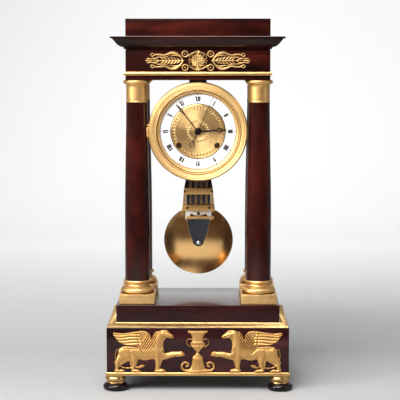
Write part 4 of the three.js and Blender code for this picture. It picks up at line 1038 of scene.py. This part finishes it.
def bezel():
    """A hinged gilt door: a woven band between mouldings, a bead and a sloped row of leaves inside it."""
    low, high = box_mm("bezel")
    front, back = low[1], high[1]
    seat = DIAL_FACE - 0.4
    outer = smooth([(80.45, -54.4), (80.4, -57.4), (79.9, -59.6), (78.9, -61), (77.8, front + 0.2),
                    (76.9, -61.3)], 6)
    crown = smooth([(75.6, -61.4), (73, -60.9), (70.6, -60.5), (69.4, -60.6)], 8)
    round_bead = smooth([(68.8, -60.5), (68.3, -61), (67.7, -60.9), (67.3, -60.4)], 3)
    band = [(76.5, -61), (76.1, -61.2), *crown, (69.2, -60.2), (68.9, -60.3)]
    inner = [*round_bead, (67.2, -58.3), (66.4, -58.25), (64.4, -57.2), (62.7, -56.1), (62, -55.2),
             (61.65, seat), (66.5, seat), (66.5, back), (78.6, back), (79, -52.4), (80.3, -53.8)]
    line = divided(np.vstack([outer, band, inner]), 0.4, lambda point: point[0] > 62 and point[1] < -54)
    turns = 1200
    a = np.linspace(0, 2 * np.pi, turns, endpoint=False)[None, :]
    r, y = line[:, :1], line[:, 1:]
    on_band = (r > 70.4) & (r < 75.2) & (y < -60.3)
    weave = 0.2 * np.cos(a * 72 + (r - 74) * 1.6) + 0.14 * np.cos(a * 72 - (r - 74) * 3.2)
    on_slope = (r > 62.4) & (r < 66) & (y < -55.4)
    leaf_at = np.abs((a * 84 / (2 * np.pi)) % 1 - 0.5) * 2
    leaf = 0.45 * np.clip(1 - (leaf_at / np.sqrt(np.clip((r - 62) / 3.6, 0.05, 1))) ** 2, 0, 1)
    on_bead = (r > 67.4) & (r < 68.9) & (y < -60.4)
    bead = 0.35 * np.abs(np.cos(a * 110)) - 0.15
    rise = np.where(on_band, weave, 0) + np.where(on_slope, leaf, 0) + np.where(on_bead, bead, 0)
    grid = np.stack([DIAL_X + r * np.cos(a), y - rise, DIAL_Z + r * np.sin(a)], axis=-1).reshape(-1, 3)
    x, y, _ = HINGES["bezel_opens"]
    parts = [(grid, quads_of(len(line), turns, True, True)),
             rod(1.6, DIAL_Z - 7, DIAL_Z + 7, x, y, ease=0.4),
             block((x, y - 1, DIAL_Z - 6), (-78.6, y + 1, DIAL_Z + 6), 0.3)]
    piece("bezel_gilt", joined(parts), GILT_TURNED, "bezel", "bezel_door", 50)
    low, high = box_mm("bezel_glass")
    edge = (high[0] - low[0]) / 2 - 0.1
    lip = smooth([(edge - 2.3, low[1]), (edge - 0.5, low[1] + 0.3), (edge, low[1] + 0.9)], 3)
    sheet = [(0, low[1]), *lip, (edge, high[1]), (0, high[1])]
    piece("dial_glass", on_dial(sheet, 96, False), GLASS, "bezel_glass", "bezel_door")


# ---------------------------------------------------------------- hands
def ring_at(mid, radius, wide, y, depth):
    section = [(radius - wide, y), (radius - wide * 0.6, y - depth), (radius + wide * 0.6, y - depth),
               (radius + wide, y)]
    return turned(section, DIAL_X, DIAL_Z + mid, "Y", 40, True)


def hand(name, parts, node, body, degrees):
    """A blued hand, built pointing at twelve and turned clockwise to where it shows the time."""
    verts, faces = joined(parts)
    verts[:, 0], verts[:, 2] = around(verts[:, 0] - DIAL_X, verts[:, 2] - DIAL_Z, degrees)
    piece(name, (verts, faces), BLUED, node, body)


def upright(*points):
    return np.array([[DIAL_X, DIAL_Z + p] for p in points])


def hands():
    for body, length, moon, moon_r, hub, widths in (
            ("hour", 46.2, 34.8, 3.1, 5.8, (1.25, 1.05)), ("minute", 56.2, 43.2, 2.4, 5.2, (1.05, 0.8))):
        node = f"{body}_hand"
        low, high = box_mm(node)
        y = low[1] + 0.75
        tip = upright(moon + moon_r - 0.2, moon + moon_r + 2, length - 1.5, length)
        disc = eased([(2.65, y), (hub, y), (hub, y - 0.6), (2.65, y - 0.7)], 0.2, True)
        parts = [bar(upright(2, moon * 0.5, moon - moon_r + 0.3), widths, 0.7, y),
                 ring_at(moon, moon_r, 0.75, y, 0.7),
                 bar(tip, (1.5, 1.35, 0.9, 0.2), 0.7, y),
                 on_dial(disc, 48)]
        if body == "hour":
            parts.append(on_dial([(2.65, y - 0.2), (3.4, y - 0.2), (3.4, high[1]), (2.65, high[1])], 32))
        hand(f"{body}_hand_blued", parts, node, body, HAND_TURN[node])

    y = box_mm("seconds_hand")[0][1] + 1.25
    hub = eased([(0, y - 1.1), (2.2, y - 1.1), (3.6, y - 0.6), (3.6, y), (0, y)], 0.3)
    needle = [bar(upright(-19.6, -3, 0, 30, 59, 60.8), (0.75, 0.85, 0.6, 0.42, 0.4, 0.25), 0.55, y),
              on_dial(hub, 40, False)]
    turn = HAND_TURN["seconds_hand"]
    hand("seconds_needle", needle, "seconds_hand", "escape", turn)
    hand("seconds_weight", [ring_at(-23.6, 3.6, 0.55, y, 0.6)], None, "escape", turn)


# ---------------------------------------------------------------- pendulum
def on_pendulum(name, shape, material, node=None, angle=35, clean=True):
    return piece(name, shape, material, node, "pendulum", angle, clean)


def notched(obj, low, high):
    """Cuts a box out of a piece."""
    mesh = bpy.data.meshes.new("notch")
    verts, faces = block(low, high, 0.2)
    mesh.from_pydata((verts * MM).tolist(), [], faces)
    cutter = bpy.data.objects.new("notch", mesh)
    bpy.context.scene.collection.objects.link(cutter)
    modifier = obj.modifiers.new("notch", "BOOLEAN")
    modifier.object = cutter
    modifier.solver = "EXACT"
    bpy.context.view_layer.update()
    graph = bpy.context.evaluated_depsgraph_get()
    cut_mesh = bpy.data.meshes.new_from_object(obj.evaluated_get(graph))
    obj.modifiers.clear()
    obj.data = cut_mesh
    bpy.data.objects.remove(cutter)


def pendulum():
    low, high = box_mm("pendulum_bob")
    x, y = (low[0] + high[0]) / 2, (low[1] + high[1]) / 2
    radius, half = (high[0] - low[0]) / 2, (high[1] - low[1]) / 2
    zc = low[2] + radius
    bulge = [(radius * q, (half - 1.6) * (1 - q ** 2) + 1.0 * q ** 2) for q in np.linspace(0, 1, 40)]
    front = [(r, y - min(h, half)) for r, h in bulge[:-1]]
    back = [(r, y + h) for r, h in bulge[:-1]][::-1]
    outline = front + [(radius, y - 1.0), (radius, y + 1.0)] + back
    lens = on_pendulum("bob_lens", turned(outline, x, zc, "Y", 160), BRASS_BOB, "pendulum_bob", 25)
    foot = box_mm("gridiron_frame")[0][2]
    notched(lens, (-21.6, 0, foot - 0.3), (21.6, 60, 330))
    notched(lens, (-28.6, 0, 278.6), (28.6, 60, 330))

    low, high = box_mm("bob_bracket")
    plate_front = 21.9
    top, tip = foot + 2.4, zc + 0.6
    side = smooth([(20.4, top), (18.6, top - 11), (16.1, top - 22), (12.9, top - 31), (10.3, tip + 0.6)], 5)
    turn = np.linspace(0, math.pi, 24)[::-1]
    arc = [(-10.3 * math.cos(a), tip - 10.3 * math.sin(a)) for a in turn]
    outline = [*side, *arc, *[(-x, z) for x, z in side[::-1]]]
    inner = [(x * 0.94, tip + (z - tip) * 0.975) for x, z in outline]
    on_pendulum("bracket_border", prism(outline, plate_front + 0.3, 24.1), BRASS)
    on_pendulum("bracket_blued", prism(inner, plate_front - 0.1, 23.6), BRACKET, "bob_bracket")
    head = smooth([(0, low[1]), (1.8, low[1] + 0.25), (3.2, low[1] + 1), (4, low[1] + 2.1)], 5)
    head = np.vstack([head, [4, plate_front + 0.4], [0, plate_front + 0.4]])
    on_pendulum("bracket_screw", turned(head, 0, zc - 4, "Y", 40), STEEL_BRIGHT)
    gridiron(foot)
    temperature_scale()


def slanted_plate(half_low, half_high, z0, z1, y0, y1):
    """A plate wider at one end, rounded at its edges, in front of the rods or behind them."""
    verts, faces = block((-1, y0, z0), (1, y1, z1), 0.5)
    t = (verts[:, 2] - z0) / (z1 - z0)
    half = half_low + (half_high - half_low) * t
    inward = 1 - np.abs(verts[:, 0])
    verts[:, 0] = np.sign(verts[:, 0]) * (half - inward)
    return verts, faces


def wings(inner, low, high, y0, y1):
    """A pair of flat wings between two levels. low and high are [outer edge, level]."""
    out = []
    for s in (-1, 1):
        wing = [(s * inner, low[1]), (s * low[0], low[1]), (s * high[0], high[1]), (s * inner, high[1])]
        out.append(prism(wing if s > 0 else wing[::-1], y0, y1))
    return out


def gridiron(foot):
    """Four brass rods and five steel rods held by brass collars, and the hook they hang from."""
    head = box_mm("gridiron_steel_rods")[1][2]
    collars = [slanted_plate(w0, w1, z0, z1, y, COLLAR_BACK) for z0, z1, w0, w1, y in COLLARS]
    for z0, z1, w0, w1, _ in COLLARS:
        collars.append(slanted_plate(w0, w1, z0, z1, 39.6, 41.5))
        for s in (-1, 1):
            verts, faces = block((-1, 32.2, z0), (1, 39.8, z1), 0.3)
            t = (verts[:, 2] - z0) / (z1 - z0)
            verts[:, 0] = s * ((w0 + (w1 - w0) * t) - 2.6) + verts[:, 0] * 2.4
            collars.append((verts, faces))
    collars += wings(20.9, (26.6, 289), (25, 308), 30.4, COLLAR_BACK)
    collars.append(block((-20.6, 22.4, foot + 2.6), (20.5, 34.4, foot + 5.9), 0.5))
    collars.append(block((19, 22.4, foot + 2.6), (26.4, 28.7, foot + 5.9), 0.5))
    collars.append(block((-22, 30, head + 0.4), (22, 41.5, head + 9), 0.7))
    hook = eased([(0, head + 8), (3.6, head + 8), (3.6, head + 13), (2.6, head + 15), (2.6, 466), (0, 466)],
                 0.8)
    collars += [turned(hook, 0, 36, "Z", 32), block((-3, 32.4, 464), (-0.55, 39.6, 475.8), 0.3),
                block((0.55, 32.4, 464), (3, 39.6, 475.8), 0.3), rod(1.2, 5.8, 31, 0, 375, 20, "Y")]
    on_pendulum("gridiron_brass_frame", joined(collars), GILT, "gridiron_frame")
    brass = [rod(1.85, foot + 1, head + 1, i * ROD_PITCH, 35.1) for i in (-1.5, -0.5, 0.5, 1.5)]
    on_pendulum("gridiron_brass_rods", joined(brass), BRASS_RODS)
    steel = [rod(2.65, foot + 4, head - 0.1, i * ROD_PITCH, 36.2, 32) for i in (-2, -1, 0, 1, 2)]
    steel.append(block((-19, 35.2, head - 7), (19, 37.7, head - 3), 0.3))
    steel += wings(19, (20.7, 336), (24.1, 317.8), 34.4, 38)
    on_pendulum("gridiron_steel", joined(steel), STEEL_RODS, "gridiron_steel_rods")
    screws = []
    for x, z, y in ((-23, 312.2, 30), (23, 312.2, 30), (-18.4, 284.4, 28.6), (18.4, 284.4, 28.6)):
        screw = eased([(0, y - 0.7), (1.5, y - 0.7), (1.9, y - 0.3), (1.9, y + 0.6), (0, y + 0.6)], 0.2)
        screws.append(turned(screw, x, z, "Y", 24))
    on_pendulum("gridiron_screws", joined(screws), STEEL_DARK)


def temperature_scale():
    """An enamel plate with a scale, and the spade that turns over it as the rods grow and shrink."""
    low, high = box_mm("temperature_scale")
    plate = block((low[0], 31.1, low[2]), (high[0], 31.9, high[2]), 0.25)
    on_pendulum("scale_plate", plate, ENAMEL, "temperature_scale", clean=False)
    sector = smooth([(-14, 272.4), (-8, 270.4), (0, 269.8), (8, 270.4), (14, 272.4)], 8)
    on_pendulum("scale_sector", bar(sector, (2.4, 1.3, 2.4), 0.5, 31.2), BRASS_DARK)
    marks = []
    for k in range(-6, 7):
        x = k * SCALE_PITCH
        z = 270.1 + 0.0125 * x * x
        marks.append(prism(oblong(x, 0.14, z - 0.7, z + 0.8), 30.62, 30.8))
    on_pendulum("scale_marks", joined(marks), INK)
    y0 = box_mm("temperature_pointer")[0][1]
    pivot = HINGES["pointer_turns"][2]
    spade = [bar(np.array([[0, pivot - 1.6], [0, 277], [0, 270.4]]), (0.6, 0.8, 0.15), 0.55, y0 + 0.6)]
    for x, z, r in ((0, 276.4, 1.2), (-1.6, 274.2, 1.5), (1.6, 274.2, 1.5)):
        leaf = eased([(0, y0 + 0.02), (r, y0 + 0.12), (r, y0 + 0.58), (0, y0 + 0.58)], 0.15)
        spade.append(turned(leaf, x, z, "Y", 24))
    spade.append(turned(oblong(1.55, 0.45, y0 + 0.05, y0 + 0.58), 0, pivot, "Y", 24, True))
    piece("pointer_spade", joined(spade), STEEL_DARK, "temperature_pointer", "pointer")


# ---------------------------------------------------------------- movement, seen from the sides and back
def drum():
    back, front = box_mm("drum_case")[1][1], -50.2
    can = eased([(43.6, front), (65, front), (65, back), (63.5, back), (63.5, front + 1.5),
                 (43.6, front + 1.5)], 0.35, True)
    x, y, _ = HINGES["bezel_opens"]
    parts = [on_dial(can, 128)]
    for z in (DIAL_Z + 7.4, DIAL_Z - 11.4):
        parts.append(block((-80.7, -48.4, z), (-60, -46.9, z + 4), 0.25))
        parts.append(block((-80.7, -52.3, z), (-79.2, -46.9, z + 4), 0.25))
        parts.append(block((x, y, z), (x + 1, -51.8, z + 4), 0.2))
        parts.append(rod(1.5, z, z + 4, x, y))
    pin = [(0, DIAL_Z - 11), (0.8, DIAL_Z - 11), (0.8, DIAL_Z + 11), (0, DIAL_Z + 11)]
    parts.append(turned(pin, x, y, "Z", 16))
    piece("drum_brass", joined(parts), BRASS, "drum_case")


def movement():
    drum()
    x, _, z = centre_of("bell")
    crown, mouth = box_mm("bell")[1][1], box_mm("bell")[0][1]
    outer = smooth([(2.3, crown), (13, crown - 0.5), (22, crown - 2.6), (27, crown - 6.2), (29, mouth + 3),
                    (30, mouth)], 7)
    inner = smooth([(28.4, mouth), (27, mouth + 3), (25, crown - 8), (20.6, crown - 4.8), (12, crown - 2.4),
                    (2.3, crown - 1.8)], 7)
    bell = turned(np.vstack([outer, inner]), x, z, "Y", 96, True)
    piece("bell_bronze", bell, BELL, "bell")
    nut = eased([(0, crown - 0.2), (4.2, crown - 0.2), (4, crown + 1.4), (1.6, crown + 1.8),
                 (0, crown + 1.8)], 0.4)
    piece("bell_nut", turned(nut, x, z, "Y", 32), STEEL)

    plate = rod(63, -5, -2.5, DIAL_X, DIAL_Z, 128, "Y", 0.4)
    stand = rod(2, -3, 22.6, x, z, 24, "Y")
    piece("rear_plate", joined([plate, stand]), BRASS, "back_plate")
    nuts = []
    head = eased([(0, -0.4), (2.4, -0.4), (3, -1.2), (3, -2.6), (0, -2.6)], 0.3)
    for turn in (45, 135, 270):
        a = math.radians(turn)
        nuts.append(turned(head, DIAL_X + 56 * math.cos(a), DIAL_Z + 56 * math.sin(a), "Y", 24))
    collet = eased([(0, -1.9), (1.6, -1.9), (2.2, -2.6), (0, -2.6)], 0.2)
    nuts += [turned(collet, x, DIAL_Z + dz, "Y", 20) for x, dz in PLATE_ARBORS]
    piece("plate_nuts", joined(nuts), STEEL)


KEPT = {
    BRASS: ("front_plate", "going_barrel", "strike_barrel", "centre_wheel", "third_wheel", "escape_wheel",
            "suspension_bracket"),
    STEEL: ("anchor_and_crutch", "hammer", "suspension_spring"),
    BRASS_DARK: ("going_winding_arbor", "strike_winding_arbor"),
}


def kept_nodes():
    """CAD nodes that show as they are, with finished materials."""
    for material, names in KEPT.items():
        for name in names:
            mesh = frame["nodes"][name].data
            mesh.materials.clear()
            mesh.materials.append(material)
            mesh.shade_smooth()
            mesh.set_sharp_from_angle(angle=math.radians(35))


# ---------------------------------------------------------------- room, light and camera
def paper():
    """Studio paper, painted darker where it lies flat near and under the object and lighter further behind
    where it rises: painted light and shade.
    """
    n = material_nodes("studio_paper")
    fibre = n.noise(2.0, 3, 0.5)
    place = n.add("ShaderNodeSeparateXYZ", {0: n.coords}).outputs
    # far paints the paper darker near the object and lighter towards the back: painted light and shade
    far = n.span(place["Y"], 0.0, 1.0, 0.2, 1.5)
    tone = n.mix(far, (0.33, 0.33, 0.328), (0.78, 0.79, 0.8))
    tone = n.mix(n.span(fibre, 0.0, 0.03), tone, (0.4, 0.4, 0.4))
    aside = n.math("DIVIDE", place["X"], 0.85)
    before = n.math("MINIMUM", place["Y"], 0.0)
    away = n.math("ADD", n.math("MULTIPLY", aside, aside), n.math("MULTIPLY", before, before))
    return n.set(Base_Color=tone, Roughness=n.span(fibre, 0.7, 0.8), Alpha=n.span(away, 1.0, 0.0, 1.0, 3.4))


def backdrop():
    """A paper sweep: flat under the object, then rising in a bend behind it."""
    bend, depth, wide = SWEEP["bend"], SWEEP["depth"], SWEEP["wide"]
    line = [(SWEEP["front"], 0.0), (depth - bend, 0.0)]
    for a in np.linspace(0, math.pi / 2, 16)[1:]:
        line.append((depth - bend + bend * math.sin(a), bend - bend * math.cos(a)))
    line.append((depth, SWEEP["tall"]))
    verts = [[sx * wide, y, z] for y, z in line for sx in (-1, 1)]
    faces = [[2 * i, 2 * i + 1, 2 * i + 3, 2 * i + 2] for i in range(len(line) - 1)]
    piece("studio_sweep", (verts, faces), paper(), body=None, angle=60, clean=False)


def placed(name, data, place, aim):
    """A lamp or camera at a place, looking at an aim."""
    obj = bpy.data.objects.new(name, data)
    obj.location = place
    obj.rotation_euler = (Vector(aim) - Vector(place)).to_track_quat("-Z", "Y").to_euler()
    bpy.context.scene.collection.objects.link(obj)
    return obj


def lamps():
    for name, place, aim, size, power, spread, colour in LAMPS:
        data = bpy.data.lights.new(name, "AREA")
        data.shape = "RECTANGLE"
        data.size, data.size_y = size
        data.energy = power
        data.spread = math.radians(spread)
        data.color = colour
        lamp = placed(name, data, place, aim)
        if name.startswith("under"):
            lamp.visible_glossy = False


def studio():
    backdrop()
    world = bpy.data.worlds.new("studio_world")
    bpy.context.scene.world = world
    n = Nodes(world, "Background", "Generated")
    depth = n.add("ShaderNodeSeparateXYZ", {0: n.coords}).outputs["Y"]
    room = n.mix(n.span(depth, 0.0, 1.0, -0.75, 0.1, "SMOOTHSTEP"), WORLD_FRONT, WORLD_SIDES)
    seen = n.add("ShaderNodeLightPath").outputs["Is Camera Ray"]
    n.set(Color=n.mix(seen, room, WORLD_SEEN), Strength=1.0)
    lamps()
    bpy.context.scene.view_settings.view_transform = "Standard"


def camera():
    data = bpy.data.cameras.new("camera")
    data.sensor_width = 36
    data.lens = CAMERA_LENS
    bpy.context.scene.camera = placed("camera", data, CAMERA_AT, CAMERA_AIM)


feet()
base()
griffin("griffin_left", 1)
griffin("griffin_right", -1)
urn()
columns()
entablature()
frieze()
dial()
bezel()
hands()
pendulum()
movement()
kept_nodes()
studio()
camera()
